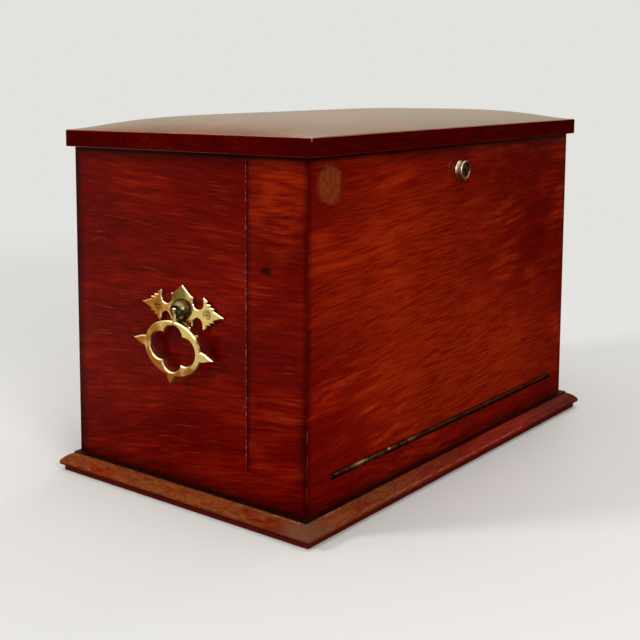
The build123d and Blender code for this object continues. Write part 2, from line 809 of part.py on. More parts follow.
# Handles
for name, sign in (("left", -1), ("right", 1)):
    middle = (sign * x_side, handle_y, handle_z)
    outward = (sign, 0, 0)
    profile_plane = Plane(origin=middle, x_dir=outward, z_dir=(0, -sign, 0))

    with BuildPart() as plate:
        with BuildSketch(side_plane(sign, 0, plate_tilt)):
            for flip in (-1, 1):
                Polygon(
                    (0, plate_peak),
                    (flip * plate_waist[0], plate_waist[1]),
                    (flip * bite_upper[0], bite_lip[1]),
                    (flip * bite_lip[0], bite_lip[1]),
                    *[(flip * u, v) for u, v in leaf_steps],
                    (flip * plate_tip, 0),
                    *[(flip * u, -v) for u, v in reversed(leaf_steps)],
                    (flip * bite_lip[0], -bite_lip[1]),
                    (flip * bite_lower[0], -bite_lip[1]),
                    (flip * plate_waist[0], -plate_waist[1]),
                    (0, -plate_foot),
                    align=None,
                )
            for out, up, radius in (bite_upper, bite_lower):
                with Locations((-out, up), (out, up)):
                    Circle(radius, mode=Mode.SUBTRACT)
                with Locations((-out, copysign(bite_lip[1], up)), (out, copysign(bite_lip[1], up))):
                    Rectangle(bite_mouth, radius, mode=Mode.SUBTRACT)
        extrude(amount=plate_thickness)
        chamfer(plate.faces().sort_by(Axis.X)[-1 if sign > 0 else 0].edges(), plate_bevel)
        screw_holes(
            screw_places,
            side_plane(sign, plate_thickness, plate_tilt),
            screw_head + fit,
            plate_thickness,
            screw_shank + fit,
        )
    save(plate, f"handle_plate_{name}")

    with BuildPart() as boss:
        with BuildSketch(profile_plane):
            with BuildLine():
                Polyline(
                    (plate_thickness + boss_height, 0),
                    (plate_thickness, 0),
                    (plate_thickness, boss_radius),
                    (plate_thickness + boss_skirt, boss_radius),
                )
                RadiusArc(
                    (plate_thickness + boss_skirt, boss_radius),
                    (plate_thickness + boss_height, 0),
                    boss_radius,
                )
            make_face()
        revolve(axis=Axis(middle, outward))
        slot_half = ring_neck / 2 + ring_slot_side
        slot_in = sign * (x_side + ring_out - ring_eye - ring_slot_over)
        slot_out = sign * (x_side + plate_thickness + 2 * boss_height)
        block(
            (min(slot_in, slot_out), max(slot_in, slot_out)),
            (handle_y - slot_half, handle_y + slot_half),
            (handle_z - 2 * boss_radius, handle_z + ring_eye + ring_slot_over),
            Mode.SUBTRACT,
        )
        with BuildSketch(Plane.XZ.offset(-handle_y + boss_radius)):
            with Locations((sign * (x_side + ring_out), handle_z)):
                Circle(ring_pin + fit / 2)
        extrude(amount=-2 * boss_radius, mode=Mode.SUBTRACT)
    save(boss, f"handle_boss_{name}")

    with BuildPart() as ring:
        with BuildSketch(side_plane(sign, ring_out - ring_depth / 2, ring_tilt)):
            with Locations((0, -ring_drop)):
                Ellipse(ring_half_width, ring_half_height)
            with Locations((0, (ring_half_height - ring_drop) / 2)):
                Rectangle(ring_neck, ring_drop - ring_half_height + ring_neck)
            for turn, base, reach in (
                (0, ring_half_width, ring_side_spike),
                (180, ring_half_width, ring_side_spike),
                (270, ring_half_height, ring_foot_spike),
            ):
                with Locations(Location((0, -ring_drop), turn)):
                    Polygon(
                        (base - ring_spike_base, ring_spike_base),
                        (base + reach * ring_spike_shoulder[0], ring_spike_base * ring_spike_shoulder[1]),
                        (base + reach, 0),
                        (base + reach * ring_spike_shoulder[0], -ring_spike_base * ring_spike_shoulder[1]),
                        (base - ring_spike_base, -ring_spike_base),
                        align=None,
                    )
            with Locations((-ring_side_lobe_out, -ring_drop), (ring_side_lobe_out, -ring_drop)):
                Circle(ring_side_lobe, mode=Mode.SUBTRACT)
            with Locations((0, -ring_drop - ring_end_lobe_out), (0, -ring_drop + ring_end_lobe_out)):
                Circle(ring_end_lobe, mode=Mode.SUBTRACT)
        extrude(amount=ring_depth)
        chamfer(ring.faces().sort_by(Axis.X)[-1 if sign > 0 else 0].edges(), ring_bevel)
        with BuildSketch(Plane.XZ.offset(-handle_y + ring_neck / 2)):
            with Locations((sign * (x_side + ring_out), handle_z)):
                Circle(ring_eye)
        extrude(amount=-ring_neck)
        with BuildSketch(Plane.XZ.offset(-handle_y + ring_neck)):
            with Locations((sign * (x_side + ring_out), handle_z)):
                Circle(ring_pin + pin_fit)
        extrude(amount=-2 * ring_neck, mode=Mode.SUBTRACT)
    save(ring, f"handle_ring_{name}")

with BuildPart() as handle_ring_pins:
    pin_half = (boss_radius**2 - (ring_out - plate_thickness - boss_skirt) ** 2) ** 0.5 - gap
    with BuildSketch(Plane.XZ.offset(-handle_y + pin_half)):
        with Locations((-x_side - ring_out, handle_z), (x_side + ring_out, handle_z)):
            Circle(ring_pin)
    extrude(amount=-2 * pin_half)
save(handle_ring_pins, "handle_ring_pins")

with BuildPart() as handle_screws:
    for sign in (-1, 1):
        for place in screw_places:
            centre = side_plane(sign, 0, plate_tilt).from_local_coords((*place, 0))
            tip = plate_thickness - screw_length
            neck = plate_thickness - screw_head_depth
            screw_plane = Plane(origin=centre, x_dir=(sign, 0, 0), z_dir=(0, -sign, 0))
            with BuildSketch(screw_plane):
                with BuildLine():
                    Polyline(
                        (plate_thickness + screw_crown, 0),
                        (tip, 0),
                        (tip + screw_shank, screw_shank),
                        (neck, screw_shank),
                        (plate_thickness, screw_head),
                    )
                    ThreePointArc(
                        (plate_thickness, screw_head),
                        (plate_thickness + 0.75 * screw_crown, screw_head / 2),
                        (plate_thickness + screw_crown, 0),
                    )
                make_face()
            revolve(axis=Axis(centre, (sign, 0, 0)))
            head_x = sign * (x_side + plate_thickness + screw_crown)
            cut_x = head_x - sign * screw_slot_depth
            block(
                (min(head_x, cut_x), max(head_x, cut_x)), (centre.Y - screw_head, centre.Y + screw_head),
                (centre.Z - screw_slot / 2, centre.Z + screw_slot / 2), Mode.SUBTRACT,
            )
save(handle_screws, "handle_screws")
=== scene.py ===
"""Closed writing slope in red mahogany: its finishes, its fine pieces and the studio around it."""

import math

import bpy
from mathutils import Matrix, Vector


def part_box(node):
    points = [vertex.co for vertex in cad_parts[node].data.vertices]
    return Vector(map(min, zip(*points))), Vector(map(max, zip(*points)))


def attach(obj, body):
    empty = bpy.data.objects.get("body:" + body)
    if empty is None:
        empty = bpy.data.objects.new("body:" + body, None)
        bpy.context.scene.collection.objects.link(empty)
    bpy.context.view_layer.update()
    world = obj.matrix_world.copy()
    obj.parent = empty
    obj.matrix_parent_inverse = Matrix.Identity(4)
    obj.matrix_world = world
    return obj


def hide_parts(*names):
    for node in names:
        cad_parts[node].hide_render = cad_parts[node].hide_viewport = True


bl_info = {
    "name": "Writing slope",
    "version": (1, 0, 0),
    "blender": (4, 5, 0),
    "location": "3D View > Sidebar > Writing slope",
    "description": "Finishes and fine pieces of a closed mahogany writing slope, and its studio",
    "category": "Object",
}

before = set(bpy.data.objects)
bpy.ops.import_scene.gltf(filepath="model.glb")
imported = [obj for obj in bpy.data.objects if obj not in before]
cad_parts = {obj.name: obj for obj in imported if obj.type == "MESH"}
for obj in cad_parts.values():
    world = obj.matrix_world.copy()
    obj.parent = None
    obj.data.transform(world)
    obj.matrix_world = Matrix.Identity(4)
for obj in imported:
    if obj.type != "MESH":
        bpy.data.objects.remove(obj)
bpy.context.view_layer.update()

MM = 0.001
WIDE, DEEP, HIGH = 0, 1, 2


def mm(*sizes):
    """Millimetres as metres."""
    return tuple(size * MM for size in sizes)


# Sizes of the fittings let into the lid's underside
BUTT_LENGTH = 52 * MM
BUTT_LEAF = 1.2 * MM
BOLT_HALF = 6 * MM
BOLT_THROW = 5.15 * MM
STRIKE_BORDER = 2 * MM
GAP = 0.15 * MM

# Shaping of the lid: how abruptly its crown falls off to the sides and to the front and back, the
# grid it is raised from, the rounding of its upright corners, the angles in degrees above which an
# edge is rounded and below which its faces shade smooth, and how near counts as touching
CROWN_ACROSS, CROWN_DEEP = 8, 4
LID_GRID = (96, 64)
LID_CORNER = 2 * MM
LID_ARRIS_ANGLE, LID_SMOOTH_ANGLE = 40, 30
TOUCHING = 1e-5

# Cleaning of a copied node: points nearer than this are merged, facets that turn by less than this
# angle in degrees are made one, and an edge above the last angle counts as sharp
MERGED = 0.002 * MM
FLAT = 0.5
SHARP = 35

# One knuckle of the fall's long hinge
STRIP_KNUCKLE = 42 * MM

# Turn of grain that runs straight, slant of the fall front's grain in degrees, and the height that
# the side boards' grain fans out from, with its growth per metre
STRAIGHT = (0, 0, 0)
FALL_SLANT = -3.5
FAN_LEVEL = 167 * MM
FAN_RATE = 1.38

# Lines of the box that finishes follow, in metres, read from the frame
fall_low, fall_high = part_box("fall_front")
side_low, side_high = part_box("side_left")
cheek_low, cheek_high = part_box("fall_cheek_left")
lid_low, lid_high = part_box("lid_board")
plinth_low, plinth_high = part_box("plinth_front")
plate_low, plate_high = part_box("handle_plate_left")
nozzle_low, nozzle_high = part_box("lock_nozzle")
ring_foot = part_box("handle_ring_left")[0].z

# Marks on the box, some of them painted light and shade: where each is centred and how far it reaches along
# the three axes
# Glows on the front: orange figure of the wood, partly a painted pool of light on its middle
FRONT_GLOWS_AND_LIGHT = (
    ((-70 * MM, fall_low.y, 165 * MM), mm(120, 60, 70), 0.75),
    ((35 * MM, fall_low.y, 75 * MM), mm(130, 60, 50), 0.90),
)
# Painted shade over the front's upper right
FRONT_PAINTED_SHADE = (150 * MM, fall_low.y, 215 * MM), mm(150, 60, 85)
FRONT_SCAB = (-171 * MM, fall_low.y, 231 * MM), mm(13, 20, 13)
# Painted sheen on the top of the cheeks
CHEEK_PAINTED_SHEEN = (cheek_low.x, -80 * MM, 222 * MM), mm(60, 22, 34)
CHEEK_KNOT = (cheek_low.x, -73 * MM, 174 * MM), mm(20, 4.5, 2.2)
PLINTH_MITRE = (plinth_low.x, plinth_low.y, 8 * MM), mm(22, 22, 12)
# Painted highlight on the fall's long hinge
STRIP_PAINTED_HIGHLIGHT = (-105 * MM, fall_low.y, side_low.z + 21 * MM), mm(32, 30, 30)
PLATE_PEAK = (
    (plate_low.x, (plate_low.y + plate_high.y) / 2 + 4 * MM, plate_high.z - 6 * MM), mm(20, 9, 8)
)
NOZZLE_DISH = (
    ((nozzle_low.x + nozzle_high.x) / 2, nozzle_low.y, (nozzle_low.z + nozzle_high.z) / 2),
    mm(5.9, 2.0, 5.9),
)

# The view: where the camera stands, its turn from straight on towards the right, how far it looks
# down and leans in degrees, its lens on its sensor in millimetres, and its shift
CAMERA_PLACE = (-0.7626, -0.5168, 0.2975)
CAMERA_TURN, CAMERA_DIP, CAMERA_LEAN = 48.81, 6.63, -0.40
CAMERA_LENS, CAMERA_SENSOR = 62.753, 36.0
CAMERA_SHIFT = (0.1803, -0.1699)

# The lamps: name, place, side, power, and whether polished faces mirror it
LAMPS = (
    ("Key lamp", (-0.95, -1.50, 0.95), 0.8, 18.4, True),
    ("Sheen lamp", (-1.45, 0.95, 0.95), 0.35, 17.0, False),
    ("Right lamp", (1.50, 0.20, 1.10), 1.0, 10.0, False),
    ("Top lamp", (-0.20, -0.20, 1.90), 1.2, 11.0, False),
)
LAMPS_AIM = (0.0, 0.0, 0.12)

# The studio: the radius of its floor, the distances between which the floor fades into the
# backdrop, and those behind and to the left of the box between which its reflection turns to cloth
FLOOR_RADIUS = 9.0
FLOOR_FADE = (0.45, 1.4)
CLOTH_BEHIND = (0.02, 0.34)
CLOTH_BESIDE = (-0.60, -0.25)

# The way towards the reflected wall, and the strengths of the even light and of the ceiling
WALL_WAY = (0.62, 0.78, 0)
EVEN_STRENGTH = 0.36
CEILING_STRENGTH = 3.0


class SlopeSizes(bpy.types.PropertyGroup):
    """Sizes of the fine shaping that the finishes and small pieces follow."""

    lid_crown: bpy.props.FloatProperty(
        name="Lid crown", description="Rise of the lid's top over its arris",
        default=10.0 * MM, min=0.0, unit="LENGTH", subtype="DISTANCE",
    )
    lid_edge: bpy.props.FloatProperty(
        name="Lid edge", description="Height of the lid's straight edge",
        default=12.7 * MM, min=0.0, unit="LENGTH", subtype="DISTANCE",
    )
    lid_arris: bpy.props.FloatProperty(
        name="Lid arris", description="Rounding of the lid's arrises",
        default=0.9 * MM, min=0.0, unit="LENGTH", subtype="DISTANCE",
    )
    cast_edge: bpy.props.FloatProperty(
        name="Cast edge", description="Softening of the edges of cast brass",
        default=0.16 * MM, min=0.0, unit="LENGTH", subtype="DISTANCE",
    )
    fleck_length: bpy.props.FloatProperty(
        name="Fleck length", description="Length of the light flecks in the mahogany",
        default=30.0 * MM, min=0.0, unit="LENGTH", subtype="DISTANCE",
    )
    fleck_width: bpy.props.FloatProperty(
        name="Fleck width", description="Width of the light flecks in the mahogany",
        default=0.9 * MM, min=0.0, unit="LENGTH", subtype="DISTANCE",
    )


def colour(name, description, default):
    """A colour that a user may change."""
    return bpy.props.FloatVectorProperty(
        name=name, description=description, default=default, min=0.0, max=1.0, size=3, subtype="COLOR"
    )


class SlopeColours(bpy.types.PropertyGroup):
    """Colours of the finishes."""

    deep: colour("Deep mahogany", "Darkest clouds of the polished wood", (0.088, 0.0008, 0.0004))
    red: colour("Red mahogany", "Main red of the polished wood", (0.150, 0.0020, 0.0005))
    glow: colour("Glowing mahogany", "Orange clouds of the polished wood", (0.235, 0.0140, 0.0012))
    fleck: colour("Fleck", "Light flecks along the grain", (0.27, 0.027, 0.004))
    worn: colour("Worn wood", "Bare brown wood where the polish has gone", (0.19, 0.045, 0.012))
    inner: colour("Inner wood", "Plain oiled wood inside the box", (0.34, 0.125, 0.040))
    brass: colour("Brass", "Polished cast brass", (0.82, 0.62, 0.22))
    # Amber also paints the darker reflections behind and below the handles
    amber: colour("Amber brass", "Tarnished cast brass", (0.47, 0.175, 0.017))
    olive: colour("Grimy brass", "Cast brass under a dark green film", (0.155, 0.130, 0.065))
    hinge: colour("Hinge brass", "Dull brass of the hinges", (0.20, 0.115, 0.045))
    strip: colour("Strip hinge brass", "Browned brass of the fall's long hinge", (0.085, 0.040, 0.015))
    nickel: colour("Nickel", "Worn nickel silver of the lock", (0.72, 0.62, 0.47))
    leather: colour("Leather", "Writing leather", (0.055, 0.010, 0.007))
    polish: colour("Red polish", "Tint of the reflections in the polished boards", (0.85, 0.10, 0.04))
    glass: colour("Glass", "Clear moulded glass of the inkwells", (0.86, 0.93, 0.90))
    glass_deep: colour("Deep glass", "Greener streaks in the glass", (0.72, 0.84, 0.80))


class MarkColours(bpy.types.PropertyGroup):
    """Colours of the wear and dirt on the finishes, and of painted highlights and shade."""

    # Painted highlight: the line along the lid's upper arris stands for its reflection there
    rim: colour("Lid rim highlight", "Line rubbed along the lid's upper arris", (0.26, 0.045, 0.014))
    nick: colour("Nick", "Bare wood in the nick at the lid's near corner", (0.52, 0.42, 0.32))
    scab: colour("Dull patch", "Perished polish on the fall front", (0.175, 0.035, 0.009))
    scab_deep: colour("Deep dull patch", "Darker blotches in it", (0.125, 0.020, 0.005))
    seam: colour("Seam specks", "Pale specks along the front seam of a side board", (0.34, 0.15, 0.09))
    bare: colour("Bare plinth", "Brown wood where the plinth is knocked", (0.200, 0.052, 0.013))
    bare_deep: colour("Deep bare plinth", "Darker mottling in it", (0.095, 0.019, 0.004))
    mitre: colour("Worn mitre", "Greyed wood at the plinth's near corner", (0.105, 0.045, 0.026))
    chip: colour("Plinth chip", "Pale chips in the plinth's ridge", (0.40, 0.20, 0.10))
    # Painted reflection: dashes along the plinth's front ridge
    ridge: colour("Painted ridge highlight", "Dashes rubbed along the plinth's front ridge", (0.34, 0.11, 0.07))
    dust: colour("Dust", "Dust that lies on the plinth against the boards", (0.32, 0.20, 0.14))
    # Painted shade: the dark red of the plinth's undercut foot
    foot_painted_shade: colour("Plinth foot", "Dark red of the plinth's straight foot", (0.075, 0.0035, 0.0015))
    peak: colour("Plate peak", "Dark film on the peak of a backplate", (0.135, 0.090, 0.030))
    chamfer: colour("Rubbed brass", "Pale brass on worn chamfers and edges", (0.95, 0.82, 0.55))
    grime: colour("Brass grime", "Dirt in the hollows of cast brass", (0.040, 0.034, 0.014))
    hinge_spots: colour("Hinge spots", "Dark spots on the hinges", (0.05, 0.026, 0.012))
    strip_spots: colour("Strip spots", "Dark spots on the fall's long hinge", (0.030, 0.010, 0.004))
    # Painted highlight on the fall's long hinge
    strip_painted_highlight: colour("Strip highlight", "Rubbed stretch of that hinge", (0.62, 0.42, 0.26))
    strip_polish: colour("Strip polish", "Tint of the reflections in it", (0.30, 0.16, 0.08))
    pin: colour("Hinge pin", "Rubbed pin of the fall's long hinge", (0.80, 0.62, 0.45))
    pin_deep: colour("Dark hinge pin", "Darker spots on it", (0.45, 0.25, 0.12))
    nickel_worn: colour("Worn nickel", "Brown base metal under the nickel", (0.42, 0.27, 0.17))
    # Painted shade on the lock's right side
    nickel_painted_shade: colour("Nickel side", "Red-brown shade on the lock's right side", (0.17, 0.045, 0.025))
    nickel_dish: colour("Nickel dish", "Dark film in the lock's dished face", (0.125, 0.068, 0.024))
    nickel_grime: colour("Nickel grime", "Dirt in the lock's hollows", (0.05, 0.035, 0.02))


class Finish:
    """Builds the nodes of one material, from places on the box to its shader."""

    def __init__(self, name, roughness=0.3, metallic=0.0, specular=0.5):
        self.material = bpy.data.materials.new(name)
        self.material.use_nodes = True
        self.tree = self.material.node_tree
        self.tree.nodes.clear()
        self.shader = self.add("ShaderNodeBsdfPrincipled")
        self.shader.inputs["Roughness"].default_value = roughness
        self.shader.inputs["Metallic"].default_value = metallic
        self.shader.inputs["Specular IOR Level"].default_value = specular
        self.output = self.add("ShaderNodeOutputMaterial")
        self.join(self.shader.outputs["BSDF"], self.output.inputs["Surface"])
        self.place = self.add("ShaderNodeTexCoord").outputs["Object"]
        self.axes = None

    def add(self, kind, **settings):
        """A new node with its settings."""
        node = self.tree.nodes.new(kind)
        for setting, value in settings.items():
            setattr(node, setting, value)
        return node

    def join(self, source, target):
        """Links one node's output to another's input."""
        self.tree.links.new(source, target)

    def feed(self, socket, value):
        """Gives a socket a constant or another node's output."""
        if isinstance(value, bpy.types.NodeSocket):
            self.join(value, socket)
        elif hasattr(value, "__len__") and len(value) == 3 and len(socket.default_value) == 4:
            socket.default_value = (*value, 1.0)
        else:
            socket.default_value = value

    def axis(self, index):
        """One coordinate of the place."""
        if self.axes is None:
            split = self.add("ShaderNodeSeparateXYZ")
            self.join(self.place, split.inputs[0])
            self.axes = split.outputs
        return self.axes[index]

    def sum(self, operation, first, second=0.0, third=0.0):
        """The result of one operation on two or three values."""
        node = self.add("ShaderNodeMath", operation=operation)
        for socket, value in zip(node.inputs, (first, second, third)):
            self.feed(socket, value)
        return node.outputs[0]

    def span(self, value, low, high, to_low=0.0, to_high=1.0):
        """Carries a value smoothly from one range to another, held at its ends."""
        node = self.add("ShaderNodeMapRange", interpolation_type="SMOOTHSTEP")
        self.feed(node.inputs["Value"], value)
        node.inputs["From Min"].default_value = low
        node.inputs["From Max"].default_value = high
        node.inputs["To Min"].default_value = to_low
        node.inputs["To Max"].default_value = to_high
        return node.outputs["Result"]

    def mix(self, factor, first, second, blend="MIX"):
        """One colour laid over another by a factor."""
        node = self.add("ShaderNodeMix", data_type="RGBA", blend_type=blend)
        self.feed(node.inputs[0], factor)
        self.feed(node.inputs[6], first)
        self.feed(node.inputs[7], second)
        return node.outputs[2]

    def noise(self, size, seed=(0.0, 0.0, 0.0), turn=(0.0, 0.0, 0.0), place=None, detail=3.0, roughness=0.55):
        """Noise whose features have a size in metres along each axis, turned and then shifted."""
        mapping = self.add("ShaderNodeMapping", vector_type="TEXTURE")
        self.join(place or self.place, mapping.inputs["Vector"])
        mapping.inputs["Location"].default_value = seed
        mapping.inputs["Rotation"].default_value = turn
        mapping.inputs["Scale"].default_value = size
        node = self.add("ShaderNodeTexNoise")
        self.join(mapping.outputs[0], node.inputs["Vector"])
        node.inputs["Scale"].default_value = 1.0
        node.inputs["Detail"].default_value = detail
        node.inputs["Roughness"].default_value = roughness
        return node.outputs["Fac"]

    def warped(self, size, amount):
        """The place, pushed about by a slow noise so that straight patterns waver."""
        node = self.add("ShaderNodeTexNoise")
        self.join(self.place, node.inputs["Vector"])
        node.inputs["Scale"].default_value = 1.0 / size
        node.inputs["Detail"].default_value = 2.0
        centred = self.add("ShaderNodeVectorMath", operation="SUBTRACT")
        self.join(node.outputs["Color"], centred.inputs[0])
        centred.inputs[1].default_value = (0.5, 0.5, 0.5)
        scaled = self.add("ShaderNodeVectorMath", operation="SCALE")
        self.join(centred.outputs[0], scaled.inputs[0])
        scaled.inputs["Scale"].default_value = amount
        moved = self.add("ShaderNodeVectorMath", operation="ADD")
        self.join(self.place, moved.inputs[0])
        self.join(scaled.outputs[0], moved.inputs[1])
        return moved.outputs[0]

    def fanned(self, place):
        """A place whose grain spreads from a level towards the back."""
        split = self.add("ShaderNodeSeparateXYZ")
        self.join(place, split.inputs[0])
        narrowing = self.sum("MULTIPLY_ADD", split.outputs[DEEP], -FAN_RATE, 1.0)
        above = self.sum("SUBTRACT", split.outputs[HIGH], FAN_LEVEL)
        joined = self.add("ShaderNodeCombineXYZ")
        self.join(split.outputs[WIDE], joined.inputs[WIDE])
        self.join(split.outputs[DEEP], joined.inputs[DEEP])
        self.join(self.sum("MULTIPLY_ADD", above, narrowing, FAN_LEVEL), joined.inputs[HIGH])
        return joined.outputs[0]

    def spot(self, centre, radii, ragged=0.35, soft=0.35, grain=0.25):
        """A mask that is 1 round a centre and fades at the given radii, with a ragged edge."""
        mapping = self.add("ShaderNodeMapping", vector_type="TEXTURE")
        self.join(self.place, mapping.inputs["Vector"])
        mapping.inputs["Location"].default_value = centre
        mapping.inputs["Scale"].default_value = radii
        length = self.add("ShaderNodeVectorMath", operation="LENGTH")
        self.join(mapping.outputs[0], length.inputs[0])
        rough = self.noise([max(grain * r, 0.4 * MM) for r in radii], seed=centre, detail=4.0)
        shifted = self.sum("MULTIPLY_ADD", rough, 2.0 * ragged, length.outputs["Value"])
        return self.span(shifted, 1.0 + ragged - soft, 1.0 + ragged + soft, 1.0, 0.0)

    def near(self, axis, at, reach):
        """A mask that is 1 at a level of one axis and fades to 0 at a distance from it."""
        away = self.sum("ABSOLUTE", self.sum("SUBTRACT", self.axis(axis), at))
        return self.span(away, 0.0, reach, 1.0, 0.0)

    def openness(self, reach):
        """How open the surface lies, from 0 in a hollow to 1, judged within a reach."""
        node = self.add("ShaderNodeAmbientOcclusion", samples=8)
        node.inputs["Distance"].default_value = reach
        return node.outputs["AO"]

    def both(self, *masks):
        """Masks and strengths multiplied together."""
        product = masks[0]
        for mask in masks[1:]:
            product = self.sum("MULTIPLY", product, mask)
        return product

    def colour(self, value):
        """Sets the finish's colour."""
        self.feed(self.shader.inputs["Base Color"], value)

    def rough(self, value):
        """Sets the finish's roughness."""
        self.feed(self.shader.inputs["Roughness"], value)

    def bump(self, height, distance, strength=1.0):
        """Raises the surface by a height, up to a distance."""
        node = self.add("ShaderNodeBump")
        node.inputs["Strength"].default_value = strength
        node.inputs["Distance"].default_value = distance
        self.join(height, node.inputs["Height"])
        self.join(node.outputs["Normal"], self.shader.inputs["Normal"])


def along(axis, length, width):
    """Feature size of a pattern that runs along one axis."""
    return [length if index == axis else width for index in (WIDE, DEEP, HIGH)]


def times(tint, factor):
    """A colour made darker, or lighter, by a factor."""
    return tuple(factor * part for part in tint)


def tilted(axis, degrees):
    """Turn of a pattern about one axis."""
    return [math.radians(degrees) if index == axis else 0.0 for index in (WIDE, DEEP, HIGH)]


def mahogany(name, grain, turn, seed, gloss=0.16, relief=0.02 * MM, glow=1.0, fleck=0.55, fanned=False):
    """Polished red mahogany: slow clouds, wavering streaks, fine fibres and light flecks.

    grain is the axis that the fibres follow and turn their slant. glow and fleck say how much shows
    of the orange clouds and of the light flecks. A fanned board's fibres spread towards its back
    edge. Returns the finish and its colour.
    """
    colours = bpy.context.scene.slope_colours
    sizes = bpy.context.scene.slope_sizes
    finish = Finish(name, roughness=gloss, specular=0.1)
    finish.shader.inputs["Specular Tint"].default_value = (*colours.polish, 1.0)
    waver = finish.warped(70 * MM, 6 * MM)
    if fanned:
        waver = finish.fanned(waver)

    def layer(length, width, detail, roughness=0.6):
        return finish.noise(along(grain, length, width), seed, turn, waver, detail, roughness)

    clouds = layer(110 * MM, 45 * MM, 2.0)
    figure = layer(44 * MM, 4.5 * MM, 4.0)
    streaks = layer(28 * MM, 1.4 * MM, 3.0, 0.65)
    fibre = layer(8 * MM, 0.8 * MM, 2.0)
    blend = finish.sum("MULTIPLY_ADD", figure, 0.45, finish.sum("MULTIPLY", clouds, 0.55))
    shade = finish.mix(finish.span(blend, 0.35, 0.65), colours.deep, colours.red)
    warmth = finish.both(finish.span(figure, 0.42, 0.68), finish.span(clouds, 0.44, 0.66), glow)
    shade = finish.mix(finish.sum("MINIMUM", warmth, 1.0), shade, colours.glow)
    for pattern in (
        finish.span(streaks, 0.28, 0.72, 0.74, 1.30), finish.span(fibre, 0.25, 0.75, 0.86, 1.15)
    ):
        shade = finish.mix(1.0, shade, grey(finish, pattern), "MULTIPLY")
    flecks = finish.span(layer(sizes.fleck_length, sizes.fleck_width, 1.0), 0.60, 0.78)
    where = finish.span(layer(60 * MM, 30 * MM, 1.0), 0.34, 0.58)
    shade = finish.mix(finish.both(flecks, where, fleck), shade, colours.fleck)
    finish.bump(fibre, relief)
    return finish, shade


def grey(finish, value):
    """A grey whose level follows a value."""
    node = finish.add("ShaderNodeCombineColor")
    for socket in node.inputs:
        finish.feed(socket, value)
    return node.outputs[0]


def paint(nodes, finish):
    """Gives CAD nodes, or pieces, one material."""
    for node in nodes:
        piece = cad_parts[node] if isinstance(node, str) else node
        piece.data.materials.clear()
        piece.data.materials.append(finish.material)


def only(piece):
    """Leaves one piece selected and active."""
    bpy.ops.object.select_all(action="DESELECT")
    piece.select_set(True)
    bpy.context.view_layer.objects.active = piece


def apply_modifier(piece, kind, name, **settings):
    """Adds a modifier with its settings and applies it."""
    only(piece)
    modifier = piece.modifiers.new(name, kind)
    for setting, value in settings.items():
        setattr(modifier, setting, value)
    bpy.ops.object.modifier_apply(modifier=modifier.name)


def select_edges(piece, test):
    """Selects the edges whose two ends pass a test, in edit mode, with nothing else selected."""
    bpy.ops.object.mode_set(mode="OBJECT")
    mesh = piece.data
    for part in (*mesh.vertices, *mesh.edges, *mesh.polygons):
        part.select = False
    for edge in mesh.edges:
        ends = [mesh.vertices[index].co for index in edge.vertices]
        edge.select = test(*ends)
    bpy.ops.object.mode_set(mode="EDIT")
    bpy.ops.mesh.select_mode(type="EDGE")


def refined(node, name, body, slot, width):
    """A smooth copy of a CAD node with softened edges, which stands for it."""
    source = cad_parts[node]
    piece = bpy.data.objects.new(name, source.data.copy())
    bpy.context.scene.collection.objects.link(piece)
    only(piece)
    bpy.ops.object.mode_set(mode="EDIT")
    bpy.ops.mesh.select_all(action="SELECT")
    bpy.ops.mesh.remove_doubles(threshold=MERGED)
    bpy.ops.mesh.dissolve_limited(angle_limit=math.radians(FLAT))
    bpy.ops.mesh.vert_connect_concave()
    bpy.ops.object.mode_set(mode="OBJECT")
    apply_modifier(
        piece, "BEVEL", "Softened edges", width=width, segments=2,
        limit_method="ANGLE", angle_limit=math.radians(SHARP), use_clamp_overlap=True,
    )
    smoothed(piece, SHARP)
    return settle(piece, body, slot, node)


def smoothed(piece, angle):
    """Shades a piece smooth below an angle, with its large faces kept flat."""
    only(piece)
    bpy.ops.object.shade_smooth_by_angle(angle=math.radians(angle))
    apply_modifier(piece, "WEIGHTED_NORMAL", "Flat faces", keep_sharp=True)


def settle(piece, body, slot, *nodes):
    """Rides a finished piece on its body, in place of CAD nodes if any are named."""
    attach(piece, body)
    if nodes:
        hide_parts(*nodes)
    return piece


